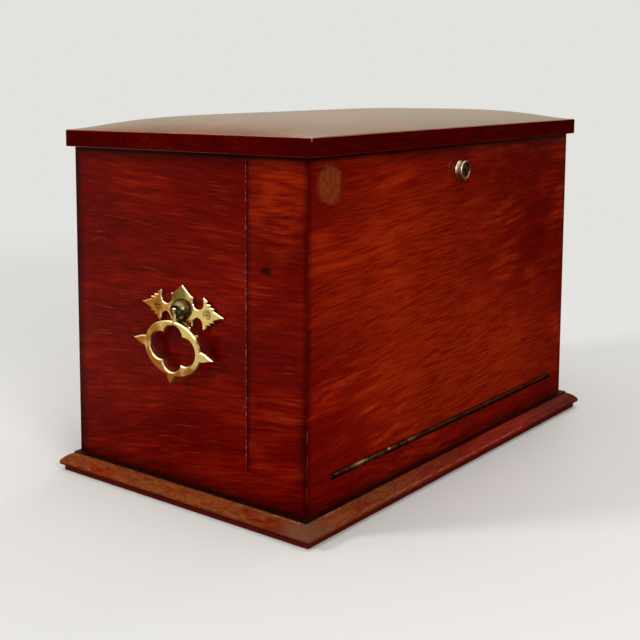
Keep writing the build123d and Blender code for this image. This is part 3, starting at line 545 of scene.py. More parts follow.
class BuildLid(bpy.types.Operator):
    """Shape the lid: a slab whose top swells from four straight arrises"""

    bl_idname = "slope.lid"
    bl_label = "Lid"

    def execute(self, context):
        sizes = context.scene.slope_sizes
        middle = (lid_low + lid_high) / 2
        half = (lid_high - lid_low) / 2
        bpy.ops.object.select_all(action="DESELECT")
        bpy.ops.mesh.primitive_grid_add(x_subdivisions=LID_GRID[0], y_subdivisions=LID_GRID[1], size=2)
        lid = context.object
        lid.name = "lid_slab"
        for vertex in lid.data.vertices:
            across, deep = vertex.co.x, vertex.co.y
            rise = (1 - abs(across) ** CROWN_ACROSS) * (1 - abs(deep) ** CROWN_DEEP)
            vertex.co = (
                middle.x + across * half.x,
                middle.y + deep * half.y,
                lid_low.z + sizes.lid_edge + sizes.lid_crown * rise,
            )
        rim = [lid_low.x, lid_high.x, lid_low.y, lid_high.y]

        def on_rim(a, b):
            sides = [(a.x, b.x, rim[0]), (a.x, b.x, rim[1]), (a.y, b.y, rim[2]), (a.y, b.y, rim[3])]
            return any(abs(p - at) < TOUCHING and abs(q - at) < TOUCHING for p, q, at in sides)

        select_edges(lid, on_rim)
        bpy.ops.mesh.extrude_region_move(TRANSFORM_OT_translate={"value": (0, 0, -sizes.lid_edge)})
        bpy.ops.mesh.edge_face_add()
        bpy.ops.mesh.select_all(action="SELECT")
        bpy.ops.mesh.normals_make_consistent(inside=False)

        def at_corner(a, b):
            upright = abs(a.x - b.x) < TOUCHING and abs(a.y - b.y) < TOUCHING
            at_side = min(abs(a.x - rim[0]), abs(a.x - rim[1])) < TOUCHING
            at_end = min(abs(a.y - rim[2]), abs(a.y - rim[3])) < TOUCHING
            return upright and at_side and at_end

        select_edges(lid, at_corner)
        bpy.ops.mesh.bevel(offset=LID_CORNER, segments=4, affect="EDGES")
        bpy.ops.object.mode_set(mode="OBJECT")
        apply_modifier(
            lid, "BEVEL", "Arrises", width=sizes.lid_arris, segments=3,
            limit_method="ANGLE", angle_limit=math.radians(LID_ARRIS_ANGLE),
        )
        self.recesses(lid)
        smoothed(lid, LID_SMOOTH_ANGLE)
        settle(lid, "lid", "mahogany", "lid_board")
        top, shade = mahogany(
            "Lid mahogany", WIDE, STRAIGHT, (0.31, 0.12, 0.55), gloss=0.12, relief=0.001 * MM, glow=0.6
        )
        top.shader.inputs["Specular IOR Level"].default_value = 0.5
        top.shader.inputs["Specular Tint"].default_value = (1.0, 1.0, 1.0, 1.0)
        top.colour(self.rim(top, shade, sizes))
        paint([lid], top)
        edge, shade = mahogany("Lid edge mahogany", WIDE, STRAIGHT, (0.81, 0.32, 0.15), glow=0.4)
        edge.shader.inputs["Specular IOR Level"].default_value = 0.0
        edge.colour(self.rim(edge, shaded(edge, shade, 0.36, 1.0), sizes))
        lid.data.materials.append(edge.material)
        for face in lid.data.polygons:
            face.material_index = int(abs(face.normal.z) < 0.5)
        return {"FINISHED"}

    def rim(self, finish, shade, sizes):
        """Lays a thin painted highlight along the upper arris, broken by noise, and a pale nick in it at the
        near corner.
        """
        marks = bpy.context.scene.slope_marks
        arris = lid_low.z + sizes.lid_edge
        # Painted highlight along the upper arris, broken by noise
        line = finish.near(HIGH, arris - 0.2 * MM, 0.6 * MM)
        rubbed = finish.noise(mm(14, 14, 14), (0.2, 0.4, 0.1))
        worn = finish.both(line, finish.span(rubbed, 0.42, 0.62, 0.1, 0.8))
        shade = finish.mix(worn, shade, marks.rim)
        corner = (lid_low.x + 1 * MM, lid_low.y + 1 * MM, arris - 1.5 * MM)
        nick = finish.spot(corner, mm(0.55, 0.55, 1.7), ragged=0.3, soft=0.3)
        return finish.mix(finish.both(nick, 0.8), shade, marks.nick)

    def recesses(self, lid):
        """Cuts the seats of the two butt leaves and their knuckles, the strike plate and the bolt's slot."""
        below = lid_low.z - 1 * MM
        leaves_low, leaves_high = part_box("lid_hinge_upper_leaves")
        strike_low, strike_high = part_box("lock_strike")
        back = side_high.y
        for sign in (-1, 1):
            ends = sorted((sign * (leaves_high.x - BUTT_LENGTH), sign * leaves_high.x))
            self.cut(lid, (ends[0], leaves_low.y, below), (ends[1], back, lid_low.z + BUTT_LEAF))
            self.cut(
                lid, (ends[0] - GAP, back, below), (ends[1] + GAP, lid_high.y + 1 * MM, leaves_high.z + GAP)
            )
        self.cut(lid, (strike_low.x, strike_low.y, below), strike_high)
        slot = Vector((BOLT_HALF + GAP, 0, 0))
        middle = (strike_low + strike_high) / 2
        reach = (strike_high.y - strike_low.y) / 2 - STRIKE_BORDER
        self.cut(
            lid, (-slot.x, middle.y - reach, below), (slot.x, middle.y + reach, lid_low.z + BOLT_THROW)
        )

    def cut(self, lid, low, high):
        """Takes a block out of the lid."""
        low, high = Vector(low), Vector(high)
        bpy.ops.object.select_all(action="DESELECT")
        bpy.ops.mesh.primitive_cube_add(size=1)
        block = bpy.context.object
        for vertex in block.data.vertices:
            vertex.co = [a if v < 0 else b for v, a, b in zip(vertex.co, low, high)]
        apply_modifier(lid, "BOOLEAN", "Recess", object=block, operation="DIFFERENCE", solver="EXACT")
        bpy.data.objects.remove(block)


def shaded(finish, shade, factor, mask):
    """The colour darkened, or brightened, by a factor where a mask is 1."""
    return finish.mix(mask, shade, finish.mix(1.0, shade, (factor,) * 3, "MULTIPLY"))


class BuildBody(bpy.types.Operator):
    """Finish the outer boards of the box in polished mahogany"""

    bl_idname = "slope.body"
    bl_label = "Body boards"

    def execute(self, context):
        self.front()
        self.side()
        self.cheek()
        finish, shade = mahogany("Sill mahogany", WIDE, STRAIGHT, (0.65, 0.3, 0.21), glow=0.8)
        finish.colour(self.painted_shade_and_worn_arris(finish, shade))
        paint(["front_sill"], finish)
        finish, shade = mahogany("Back mahogany", WIDE, STRAIGHT, (0.95, 0.8, 0.1), glow=0.5)
        finish.colour(shade)
        paint(["back_panel"], finish)
        return {"FINISHED"}

    def painted_shade_and_worn_arris(self, finish, shade):
        """Darkens a board towards its corners and back edge, and paints shade under the lid and at its foot.

        A worn line lies on the two front corners, brightest near the foot.
        """
        away = finish.sum("ABSOLUTE", finish.axis(WIDE))
        across = finish.sum("SUBTRACT", fall_high.x, away)
        deep = finish.sum("SUBTRACT", finish.axis(DEEP), fall_low.y)
        reach = finish.sum("MAXIMUM", across, deep)
        shade = shaded(finish, shade, 0.5, finish.span(reach, 0.5 * MM, 6 * MM, 1.0, 0.0))
        back = finish.span(finish.axis(DEEP), side_high.y - 12 * MM, side_high.y - 0.5 * MM)
        shade = shaded(finish, shade, 0.28, back)
        # Painted shadow under the lid's overhang: a wide soft band and a narrow dark one
        for depth, factor in ((13 * MM, 0.5), (4 * MM, 0.12)):
            under_lid_shadow = finish.span(finish.axis(HIGH), side_high.z - depth, side_high.z - 0.2 * depth)
            shade = shaded(finish, shade, factor, under_lid_shadow)
        # Painted shade along the foot, above the plinth
        foot = finish.span(finish.axis(HIGH), side_low.z, side_low.z + 14 * MM, 1.0, 0.0)
        shade = shaded(finish, shade, 0.5, foot)
        rubbed = finish.noise(mm(9, 9, 16), (0.3, 0.3, 0.3), detail=4.0)
        level = finish.span(finish.axis(HIGH), 45 * MM, 85 * MM, 0.16, 0.0)
        rubbed = finish.span(finish.sum("ADD", rubbed, level), 0.58, 0.72)
        line = finish.span(reach, 0.2 * MM, 0.7 * MM, 1.0, 0.0)
        return finish.mix(finish.both(line, rubbed, 0.55), shade, bpy.context.scene.slope_colours.worn)

    def front(self):
        """Finishes the fall front, with its glowing middle, partly a painted pool of light, painted shade at
        its upper right and a dull patch near its upper corner.
        """
        marks = bpy.context.scene.slope_marks
        slant = tilted(DEEP, FALL_SLANT)
        finish, shade = mahogany(
            "Front mahogany", WIDE, slant, (0.05, 0.3, 0.21), glow=1.2, fleck=0.5
        )
        threads = finish.noise(along(WIDE, 26 * MM, 1.6 * MM), (0.4, 0.1, 0.8), slant, detail=4.0)
        threads = finish.span(threads, 0.36, 0.64, 0.15, 1.0)
        # Orange figure and a painted pool of light brighten the front's middle
        for centre, radii, strength in FRONT_GLOWS_AND_LIGHT:
            shine = finish.both(finish.spot(centre, radii, ragged=0.3, soft=0.6), threads, strength)
            shade = finish.mix(shine, shade, bpy.context.scene.slope_colours.glow)
        # Painted shade over the front's upper right
        shade = shaded(finish, shade, 0.80, finish.spot(*FRONT_PAINTED_SHADE, ragged=0.3, soft=0.6))
        patch = finish.spot(*FRONT_SCAB, ragged=0.45, soft=0.15, grain=0.7)
        blotch = finish.span(finish.noise(mm(3, 3, 3), (0.2, 0.2, 0.6)), 0.3, 0.7)
        scab = finish.mix(blotch, marks.scab_deep, marks.scab)
        shade = finish.mix(finish.both(patch, 0.8), shade, scab)
        finish.colour(self.painted_shade_and_worn_arris(finish, shade))
        paint(["fall_front"], finish)

    def side(self):
        """Finishes the two side boards, with pale specks along the seam before them."""
        finish, shade = mahogany(
            "Side mahogany", DEEP, STRAIGHT, (0.2, 0.7, 0.9), glow=0.5, fleck=0.7, fanned=True
        )
        specks = finish.noise(mm(6, 6, 2.4), (0.1, 0.6, 0.2))
        specks = finish.span(specks, 0.50, 0.66, 0.06, 0.85)
        shade = shaded(finish, shade, 0.78, 1.0)
        away = finish.sum("ABSOLUTE", finish.axis(WIDE))
        seam = finish.both(
            finish.near(DEEP, cheek_high.y + 0.3 * MM, 0.75 * MM),
            finish.span(finish.axis(HIGH), cheek_low.z, cheek_low.z + 2 * MM),
            finish.span(away, -side_low.x - 0.8 * MM, -side_low.x - 0.2 * MM),
        )
        shade = finish.mix(finish.both(seam, specks), shade, bpy.context.scene.slope_marks.seam)
        finish.colour(self.painted_shade_and_worn_arris(finish, shade))
        paint(["side_left", "side_right"], finish)

    def cheek(self):
        """Finishes the fall's two cheeks, with a painted sheen at the top and a knot below it."""
        finish, shade = mahogany(
            "Cheek mahogany", DEEP, STRAIGHT, (0.7, 0.2, 0.4), glow=1.1, fanned=True
        )
        shade = shaded(finish, shade, 0.80, 1.0)
        low = finish.span(finish.axis(HIGH), 60 * MM, 120 * MM, 1.0, 0.0)
        shade = shaded(finish, shade, 0.42, finish.both(low, finish.near(DEEP, cheek_low.y, 12 * MM)))
        # Painted sheen on the top of the cheek, broken into bands
        shine = finish.spot(*CHEEK_PAINTED_SHEEN, ragged=0.5, soft=0.6, grain=0.7)
        bands = finish.noise(along(DEEP, 24 * MM, 3 * MM), (0.3, 0.1, 0.5))
        shine = finish.both(shine, finish.span(bands, 0.36, 0.66), 0.8)
        shade = finish.mix(shine, shade, bpy.context.scene.slope_colours.glow)
        shade = shaded(finish, shade, 0.22, finish.near(DEEP, cheek_high.y, 4.5 * MM))
        knot = finish.spot(*CHEEK_KNOT, ragged=0.3, soft=0.3)
        shade = shaded(finish, shade, 0.22, knot)
        finish.colour(self.painted_shade_and_worn_arris(finish, shade))
        paint(["fall_cheek_left", "fall_cheek_right"], finish)


class BuildPlinth(bpy.types.Operator):
    """Finish the plinth moulding, duller and browner where it is knocked"""

    bl_idname = "slope.plinth"
    bl_label = "Plinth"

    def execute(self, context):
        for nodes, grain in (("plinth_front", "plinth_back"), WIDE), (("plinth_left", "plinth_right"), DEEP):
            label = "Plinth front mahogany" if grain == WIDE else "Plinth side mahogany"
            finish, shade = mahogany(label, grain, STRAIGHT, (0.4, 0.5, 0.3), glow=0.8, gloss=0.5)
            finish.shader.inputs["Specular IOR Level"].default_value = 0.05
            finish.colour(self.knocked(finish, grain, shade, context.scene.slope_marks))
            paint(nodes, finish)
        return {"FINISHED"}

    def knocked(self, finish, grain, shade, marks):
        """Rubs a moulding bare in places, with a chipped ridge, painted shadow in the quirk above and painted
        shade on its foot.
        """
        rubbed = finish.noise(along(grain, 45 * MM, 9 * MM), (0.6, 0.1, 0.2), detail=4.0, roughness=0.65)
        rubbed = finish.span(rubbed, 0.28, 0.52, 0.15, 0.92)
        if grain == WIDE:
            rubbed = finish.both(rubbed, finish.span(finish.axis(WIDE), -150 * MM, 20 * MM, 0.9, 0.12))
        mottle = finish.noise(along(grain, 7 * MM, 2.2 * MM), (0.1, 0.5, 0.9), detail=4.0, roughness=0.7)
        bare = finish.mix(finish.span(mottle, 0.32, 0.68), marks.bare_deep, marks.bare)
        shade = finish.mix(rubbed, shade, bare)
        mitre = finish.spot(*PLINTH_MITRE, ragged=0.5, soft=0.5)
        shade = finish.mix(finish.both(mitre, 0.7), shade, marks.mitre)
        chips = finish.noise(mm(4, 4, 2), (0.7, 0.2, 0.9))
        chipped = finish.both(finish.near(HIGH, 7.8 * MM, 1.6 * MM), finish.span(chips, 0.66, 0.72), 0.8)
        shade = finish.mix(chipped, shade, marks.chip)
        if grain == WIDE:
            shade = self.front_ridge(finish, shade, marks)
        # Painted shadow in the quirk under the boards
        quirk_shadow = finish.span(finish.axis(HIGH), plinth_high.z - 1.1 * MM, plinth_high.z - 0.4 * MM)
        shade = shaded(finish, shade, 0.06, quirk_shadow)
        dust = finish.both(
            finish.near(HIGH, plinth_high.z - 1.4 * MM, 0.5 * MM),
            finish.span(chips, 0.52, 0.6),
            finish.span(finish.axis(grain), *self.corner_reach(grain)),
            0.5,
        )
        shade = finish.mix(dust, shade, marks.dust)
        # Painted shade on the undercut foot
        foot = finish.span(finish.axis(HIGH), 5 * MM, 7.2 * MM, 0.9, 0.0)
        return finish.mix(foot, shade, marks.foot_painted_shade)

    def front_ridge(self, finish, shade, marks):
        """Lays dashes of painted reflection along the front ridge, and darkens the moulding's right end."""
        # Painted reflection in dashes along the front ridge
        highlight_breaks = finish.noise(mm(9, 9, 9), (0.2, 0.6, 0.1))
        middle = finish.span(finish.sum("ABSOLUTE", finish.axis(WIDE)), 90 * MM, 190 * MM, 0.6, 0.1)
        ridge = finish.both(finish.near(HIGH, 8 * MM, 0.6 * MM), finish.span(highlight_breaks, 0.42, 0.6), middle)
        shade = finish.mix(ridge, shade, marks.ridge)
        return shaded(finish, shade, 0.4, finish.span(finish.axis(WIDE), 90 * MM, 190 * MM))

    def corner_reach(self, grain):
        """Where the dust under the boards fades, from the near corner along the moulding."""
        start = plinth_low.y if grain == DEEP else plinth_low.x
        return start + 95 * MM, start + 15 * MM


class BuildInside(bpy.types.Operator):
    """Finish the fittings that show when the box is open"""

    bl_idname = "slope.inside"
    bl_label = "Inside"

    def execute(self, context):
        colours = context.scene.slope_colours
        flat = (
            "base_board", "hinge_rail", "pen_tray", "rack_divider_front", "rack_divider_middle",
            "rack_divider_back", "fall_foot_rail", "fall_head_rail", "writing_flap",
        )
        for grain, nodes in (WIDE, flat), (HIGH, ("rack_end_left", "rack_end_right", "flap_ledges")):
            finish = Finish(f"Inner wood {'XYZ'[grain]}", roughness=0.45, specular=0.4)
            waver = finish.warped(50 * MM, 5 * MM)
            figure = finish.noise(along(grain, 70 * MM, 6 * MM), (0.1, 0.2, 0.3), place=waver, detail=4.0)
            fibre = finish.noise(along(grain, 12 * MM, 0.6 * MM), (0.5, 0.4, 0.3), place=waver)
            shade = finish.mix(finish.span(figure, 0.3, 0.7), times(colours.inner, 0.55), colours.inner)
            shade = finish.mix(1.0, shade, grey(finish, finish.span(fibre, 0.3, 0.7, 0.7, 1.2)), "MULTIPLY")
            finish.colour(shade)
            finish.bump(fibre, 0.06 * MM, 0.4)
            paint(nodes, finish)
        hide = Finish("Writing leather", roughness=0.5, specular=0.4)
        pores = hide.noise(mm(0.9, 0.9, 0.9), detail=4.0, roughness=0.6)
        cloud = hide.noise(mm(60, 60, 60))
        hide.colour(hide.mix(cloud, colours.leather, times(colours.leather, 1.8)))
        hide.bump(pores, 0.12 * MM, 0.7)
        paint(["writing_leather", "flap_pull"], hide)
        glass = Finish("Inkwell glass", roughness=0.04, specular=0.5)
        glass.shader.inputs["Transmission Weight"].default_value = 0.9
        glass.shader.inputs["IOR"].default_value = 1.5
        streak = glass.noise(mm(9, 9, 9), detail=2.0)
        glass.colour(glass.mix(streak, colours.glass_deep, colours.glass))
        paint(["inkwell_left", "inkwell_right"], glass)
        return {"FINISHED"}


def cast_brass(name, pale, amber, roughness=0.2, dirt=0.85, reach=2.5 * MM, rubbed=0.0):
    """Old cast brass: tarnish in patches, painted paler towards the front and painted amber behind and below,
    and dark recesses.

    dirt is how dark its hollows are and reach how far out of them it spreads. rubbed is how pale
    its chamfers and edges are worn.
    """
    marks = bpy.context.scene.slope_marks
    finish = Finish(name, roughness=roughness, metallic=1.0)
    tarnish_and_painted_light = finish.noise(mm(14, 14, 14), (0.3, 0.1, 0.7))
    # Painted light: paler towards the front, amber behind and below
    behind = finish.span(finish.axis(DEEP), -16 * MM, 8 * MM, -0.16, 0.14)
    below = finish.span(finish.axis(HIGH), ring_foot + 8 * MM, ring_foot + 26 * MM, 0.28, -0.04)
    tarnish_and_painted_light = finish.sum("ADD", tarnish_and_painted_light, finish.sum("ADD", behind, below))
    shade = finish.mix(finish.span(tarnish_and_painted_light, 0.36, 0.64), pale, amber)
    peak = finish.spot(*PLATE_PEAK, ragged=0.4, soft=0.3)
    shade = finish.mix(finish.both(peak, 0.85), shade, marks.peak)
    if rubbed:
        split = finish.add("ShaderNodeSeparateXYZ")
        finish.join(finish.add("ShaderNodeTexCoord").outputs["Normal"], split.inputs[0])
        facing = finish.sum("ABSOLUTE", split.outputs[WIDE])
        shade = finish.mix(finish.span(facing, 0.75, 0.95, rubbed, 0.0), shade, marks.chamfer)
    grime = finish.span(finish.openness(reach), 0.35, 0.8, dirt, 0.0)
    finish.colour(finish.mix(grime, shade, marks.grime))
    finish.rough(finish.span(tarnish_and_painted_light, 0.36, 0.7, roughness * 0.8, roughness * 1.5))
    finish.bump(finish.noise(mm(5, 5, 5), detail=2.0), 0.06 * MM)
    return finish


class BuildHandles(bpy.types.Operator):
    """Shape the pierced backplates, their domed bosses, the drop rings and their screws"""

    bl_idname = "slope.handles"
    bl_label = "Handles"

    def execute(self, context):
        edge = context.scene.slope_sizes.cast_edge
        colours = context.scene.slope_colours
        brass = cast_brass("Handle brass", colours.brass, colours.amber, rubbed=0.85)
        grimy = cast_brass("Boss brass", colours.olive, times(colours.olive, 0.5), roughness=0.3)
        dull = cast_brass(
            "Screw brass", times(colours.brass, 0.85), colours.amber,
            roughness=0.42, dirt=1.0, reach=1 * MM,
        )
        for side in ("left", "right"):
            plate = refined(f"handle_plate_{side}", f"backplate_{side}", "carcass", "brass", edge)
            ring = refined(f"handle_ring_{side}", f"drop_ring_{side}", f"ring_{side}", "brass", edge)
            paint([plate, ring], brass)
            paint([refined(f"handle_boss_{side}", f"domed_boss_{side}", "carcass", "brass", edge)], grimy)
        paint([refined("handle_screws", "handle_screw_heads", "carcass", "brass", 0.08 * MM)], dull)
        paint(["handle_ring_pins"], grimy)
        return {"FINISHED"}


class BuildHinges(bpy.types.Operator):
    """Finish the strip hinge, the lid butts and the small brass inside"""

    bl_idname = "slope.hinges"
    bl_label = "Hinges"

    def execute(self, context):
        colours = context.scene.slope_colours
        marks = context.scene.slope_marks
        dull, shade = self.tarnished("Hinge brass", colours.hinge, marks.hinge_spots)
        dull.colour(shade)
        strip, shade = self.tarnished("Strip hinge brass", colours.strip, marks.strip_spots)
        strip.shader.inputs["Specular Tint"].default_value = (*marks.strip_polish, 1.0)
        along_strip = strip.sum("PINGPONG", strip.axis(WIDE), STRIP_KNUCKLE / 2)
        joints = strip.span(along_strip, 0.3 * MM, 0.7 * MM, 1.0, 0.0)
        shade = shaded(strip, shade, 0.15, joints)
        # Painted highlight on one stretch of the strip hinge, broken by noise
        rubbed = strip.span(strip.noise(mm(12, 12, 12), (0.9, 0.4, 0.2)), 0.45, 0.6)
        painted_highlight = strip.both(strip.spot(*STRIP_PAINTED_HIGHLIGHT, ragged=0.2, soft=0.4), rubbed, 0.8)
        strip.colour(strip.mix(painted_highlight, shade, marks.strip_painted_highlight))
        pin = Finish("Hinge pin", roughness=0.35, metallic=1.0)
        pin.colour(pin.mix(pin.noise(mm(1.5, 1.5, 1.5)), marks.pin, marks.pin_deep))
        paint(["fall_hinge_pin"], pin)
        paint(["fall_hinge_lower_leaf", "fall_hinge_upper_leaf"], strip)
        paint(
            [
                "lid_hinge_lower_leaves", "lid_hinge_upper_leaves", "lid_hinge_pins",
                "flap_hinge_fixed_leaves", "flap_hinge_moving_leaves", "flap_hinge_pins",
                "inkwell_collar_left", "inkwell_collar_right", "inkwell_lid_left", "inkwell_lid_right",
                "inkwell_pins", "lock_strike", "lock_case",
            ],
            dull,
        )
        return {"FINISHED"}

    def tarnished(self, name, tint, spotted):
        """Dull brass with darker spots: the finish and its colour."""
        finish = Finish(name, roughness=0.42, metallic=1.0)
        spots = finish.noise(mm(3, 3, 3), (0.5, 0.1, 0.3))
        return finish, finish.mix(finish.span(spots, 0.42, 0.7), tint, spotted)


class BuildLock(bpy.types.Operator):
    """Shape the spool-shaped lock nozzle and finish the bolt"""

    bl_idname = "slope.lock"
    bl_label = "Lock"

    def execute(self, context):
        marks = context.scene.slope_marks
        finish = Finish("Nickel silver", roughness=0.3, metallic=1.0)
        worn = finish.noise(mm(2.2, 2.2, 2.2), (0.4, 0.2, 0.1), detail=4.0, roughness=0.65)
        nickel = context.scene.slope_colours.nickel
        shade = finish.mix(finish.span(worn, 0.45, 0.72), nickel, marks.nickel_worn)
        # Painted shade: red-brown towards the lock's right side
        right = finish.span(finish.axis(WIDE), -3.5 * MM, 3 * MM, 0.0, 0.9)
        shade = finish.mix(right, shade, marks.nickel_painted_shade)
        dish = finish.spot(*NOZZLE_DISH, ragged=0.02, soft=0.1)
        shade = finish.mix(finish.both(dish, 0.92), shade, marks.nickel_dish)
        grime = finish.span(finish.openness(2.5 * MM), 0.35, 0.9, 0.8, 0.0)
        finish.colour(finish.mix(grime, shade, marks.nickel_grime))
        finish.rough(finish.span(worn, 0.3, 0.7, 0.24, 0.42))
        paint([refined("lock_nozzle", "key_nozzle", "fall", "steel", 0.12 * MM)], finish)
        paint(["lock_bolt"], finish)
        return {"FINISHED"}


class StageSettings(bpy.types.PropertyGroup):
    """The plain studio around the box."""

    backdrop: colour("Backdrop", "Colour of the background and of the floor far away", (0.76, 0.76, 0.735))
    floor: colour("Floor", "Colour of the floor near the box", (0.69, 0.68, 0.655))
    table: colour("Reflected floor", "Warm colour that polish finds in the floor", (0.07, 0.022, 0.006))
    cloth: colour("Reflected cloth", "Pale colour that it finds behind the box", (0.78, 0.74, 0.62))
    wall: colour("Reflected wall", "Pale wall that polish finds behind the box", (0.52, 0.46, 0.36))
    upper: colour("Reflected upper wall", "Colour of that wall higher up", (0.76, 0.80, 0.57))
    room: colour("Reflected room", "Dim room that polish finds before the box", (0.05, 0.020, 0.010))
    ceiling: colour("Reflected ceiling", "Bright ceiling that edges find overhead", (1.0, 0.90, 0.70))


def light(name, place, side, power, mirrored):
    """A soft square lamp that faces the box, and shows in polished faces only if mirrored."""
    data = bpy.data.lights.new(name, "AREA")
    data.shape = "RECTANGLE"
    data.size = data.size_y = side
    data.energy = power
    lamp = bpy.data.objects.new(name, data)
    bpy.context.scene.collection.objects.link(lamp)
    lamp.visible_glossy = mirrored
    lamp.location = place
    lamp.rotation_euler = (Vector(LAMPS_AIM) - Vector(place)).to_track_quat("-Z", "Y").to_euler()


class BuildStage(bpy.types.Operator):
    """Set the floor, the world, the lamps and the camera"""

    bl_idname = "slope.stage"
    bl_label = "Stage"

    def execute(self, context):
        scene = context.scene
        scene.view_settings.view_transform = "Standard"
        self.floor(scene.slope_stage)
        self.world(scene.slope_stage)
        for lamp in LAMPS:
            light(*lamp)
        self.camera(scene)
        return {"FINISHED"}

    def floor(self, stage):
        """Lays the floor, which fades into the backdrop and shows polished faces a warm table."""
        bpy.ops.object.select_all(action="DESELECT")
        bpy.ops.mesh.primitive_circle_add(vertices=96, radius=FLOOR_RADIUS, fill_type="NGON")
        floor = bpy.context.object
        floor.name = "studio_floor"
        finish = Finish("Studio floor", roughness=0.8, specular=0.1)
        finish.colour(stage.floor)
        away = finish.add("ShaderNodeVectorMath", operation="LENGTH")
        finish.join(finish.place, away.inputs[0])
        path = finish.add("ShaderNodeLightPath")
        far = finish.both(finish.span(away.outputs["Value"], *FLOOR_FADE), path.outputs["Is Camera Ray"])
        seen = self.blend(finish, far, finish.shader, self.glow(finish, stage.backdrop))
        behind = finish.span(finish.axis(DEEP), *CLOTH_BEHIND)
        beside = finish.span(finish.axis(WIDE), *CLOTH_BESIDE, 1.0, 0.0)
        cloth = finish.sum("MAXIMUM", behind, beside)
        mirrored = self.blend(
            finish, cloth, self.glow(finish, stage.table), self.glow(finish, stage.cloth)
        )
        whole = self.blend(finish, path.outputs["Is Glossy Ray"], seen, mirrored)
        finish.join(whole.outputs[0], finish.output.inputs["Surface"])
        floor.data.materials.append(finish.material)

    def glow(self, finish, tint):
        """A shader that shows a colour as it is written."""
        node = finish.add("ShaderNodeEmission")
        node.inputs["Color"].default_value = (*tint, 1.0)
        return node

    def blend(self, finish, factor, first, second):
        """Two shaders mixed by a factor."""
        node = finish.add("ShaderNodeMixShader")
        finish.join(factor, node.inputs[0])
        finish.join(first.outputs[0], node.inputs[1])
        finish.join(second.outputs[0], node.inputs[2])
        return node

    def world(self, stage):
        """Sets the even light, the backdrop that is seen, and the room that polished faces show."""
        world = bpy.data.worlds.new("Studio")
        bpy.context.scene.world = world
        world.use_nodes = True
        tree = world.node_tree
        tree.nodes.clear()

        def sky(tint, strength=1.0):
            node = tree.nodes.new("ShaderNodeBackground")
            node.inputs["Color"].default_value = (*tint, 1.0)
            node.inputs["Strength"].default_value = strength
            return node

        def blend(factor, first, second):
            node = tree.nodes.new("ShaderNodeMixShader")
            tree.links.new(factor, node.inputs[0])
            tree.links.new(first.outputs[0], node.inputs[1])
            tree.links.new(second.outputs[0], node.inputs[2])
            return node

        path = tree.nodes.new("ShaderNodeLightPath")
        place = tree.nodes.new("ShaderNodeTexCoord")

        def toward(direction, low, high):
            """A factor that rises from 0 to 1 as the view turns towards a direction."""
            aligned = tree.nodes.new("ShaderNodeVectorMath")
            aligned.operation = "DOT_PRODUCT"
            aligned.inputs[1].default_value = direction
            tree.links.new(place.outputs["Generated"], aligned.inputs[0])
            ramp = tree.nodes.new("ShaderNodeMapRange")
            ramp.interpolation_type = "SMOOTHSTEP"
            ramp.inputs["From Min"].default_value = low
            ramp.inputs["From Max"].default_value = high
            tree.links.new(aligned.outputs["Value"], ramp.inputs["Value"])
            return ramp.outputs[0]

        wall = blend(toward((0, 0, 1), 0.0, 0.4), sky(stage.wall), sky(stage.upper))
        around = blend(toward(WALL_WAY, -0.5, 0.5), sky(stage.room), wall)
        reflected = blend(toward((0, 0, 1), 0.58, 0.80), around, sky(stage.ceiling, CEILING_STRENGTH))
        indirect = blend(path.outputs["Is Glossy Ray"], sky((1.0, 1.0, 1.0), EVEN_STRENGTH), reflected)
        clear = tree.nodes.new("ShaderNodeMath")
        clear.operation = "MAXIMUM"
        tree.links.new(path.outputs["Is Camera Ray"], clear.inputs[0])
        tree.links.new(path.outputs["Is Transmission Ray"], clear.inputs[1])
        whole = blend(clear.outputs[0], indirect, sky(stage.backdrop))
        output = tree.nodes.new("ShaderNodeOutputWorld")
        tree.links.new(whole.outputs[0], output.inputs["Surface"])

    def camera(self, scene):
        """Places the camera and turns it to the view."""
        turn, dip, lean = (math.radians(angle) for angle in (CAMERA_TURN, CAMERA_DIP, CAMERA_LEAN))
        ahead = Vector((math.sin(turn) * math.cos(dip), math.cos(turn) * math.cos(dip), -math.sin(dip)))
        right = Vector((math.cos(turn), -math.sin(turn), 0.0))
        above = right.cross(ahead)
        side = right * math.cos(lean) + above * math.sin(lean)
        top = above * math.cos(lean) - right * math.sin(lean)
        data = bpy.data.cameras.new("Camera")
        data.sensor_width = CAMERA_SENSOR
        data.lens = CAMERA_LENS
        data.shift_x, data.shift_y = CAMERA_SHIFT
        camera = bpy.data.objects.new("Camera", data)
        scene.collection.objects.link(camera)
        turned = Matrix((side, top, -ahead)).transposed().to_4x4()
        camera.matrix_world = Matrix.Translation(CAMERA_PLACE) @ turned
        scene.camera = camera


class SlopePanel(bpy.types.Panel):
    """Sizes, colours and steps of the writing slope"""

    bl_label = "Writing slope"
    bl_idname = "SLOPE_PT_panel"
    bl_space_type = "VIEW_3D"
    bl_region_type = "UI"
    bl_category = "Writing slope"

    def draw(self, context):
        scene = context.scene
        for group in (scene.slope_sizes, scene.slope_colours, scene.slope_marks, scene.slope_stage):
            column = self.layout.column()
            for name in group.__annotations__:
                column.prop(group, name)
        for step in STEPS:
            self.layout.operator(step.bl_idname)


STEPS = (BuildLid, BuildBody, BuildPlinth, BuildInside, BuildHandles, BuildHinges, BuildLock, BuildStage)
GROUPS = (SlopeSizes, SlopeColours, MarkColours, StageSettings)


def register():
    for kind in (*GROUPS, *STEPS, SlopePanel):
        bpy.utils.register_class(kind)
    bpy.types.Scene.slope_sizes = bpy.props.PointerProperty(type=SlopeSizes)
    bpy.types.Scene.slope_colours = bpy.props.PointerProperty(type=SlopeColours)
    bpy.types.Scene.slope_marks = bpy.props.PointerProperty(type=MarkColours)
    bpy.types.Scene.slope_stage = bpy.props.PointerProperty(type=StageSettings)


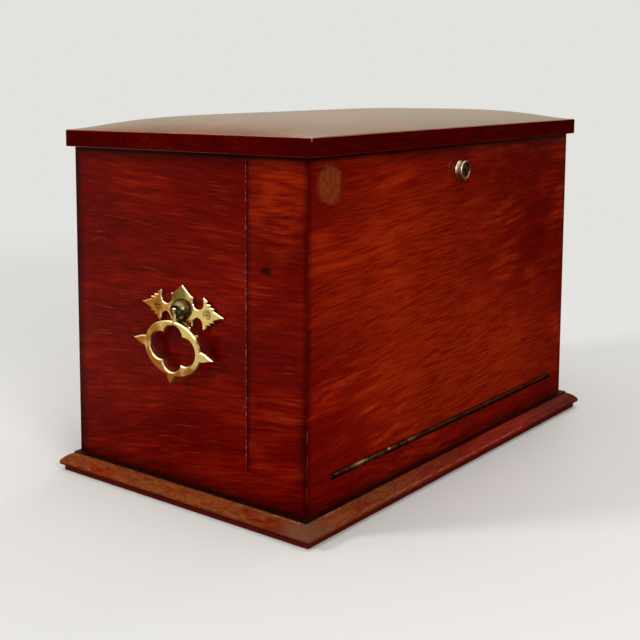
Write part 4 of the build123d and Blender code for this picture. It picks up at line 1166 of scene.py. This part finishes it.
def unregister():
    del bpy.types.Scene.slope_sizes
    del bpy.types.Scene.slope_colours
    del bpy.types.Scene.slope_marks
    del bpy.types.Scene.slope_stage
    for kind in reversed((*GROUPS, *STEPS, SlopePanel)):
        bpy.utils.unregister_class(kind)


def main():
    register()
    bpy.ops.slope.lid()
    bpy.ops.slope.body()
    bpy.ops.slope.plinth()
    bpy.ops.slope.inside()
    bpy.ops.slope.handles()
    bpy.ops.slope.hinges()
    bpy.ops.slope.lock()
    bpy.ops.slope.stage()


if __name__ == "__main__":
    main()
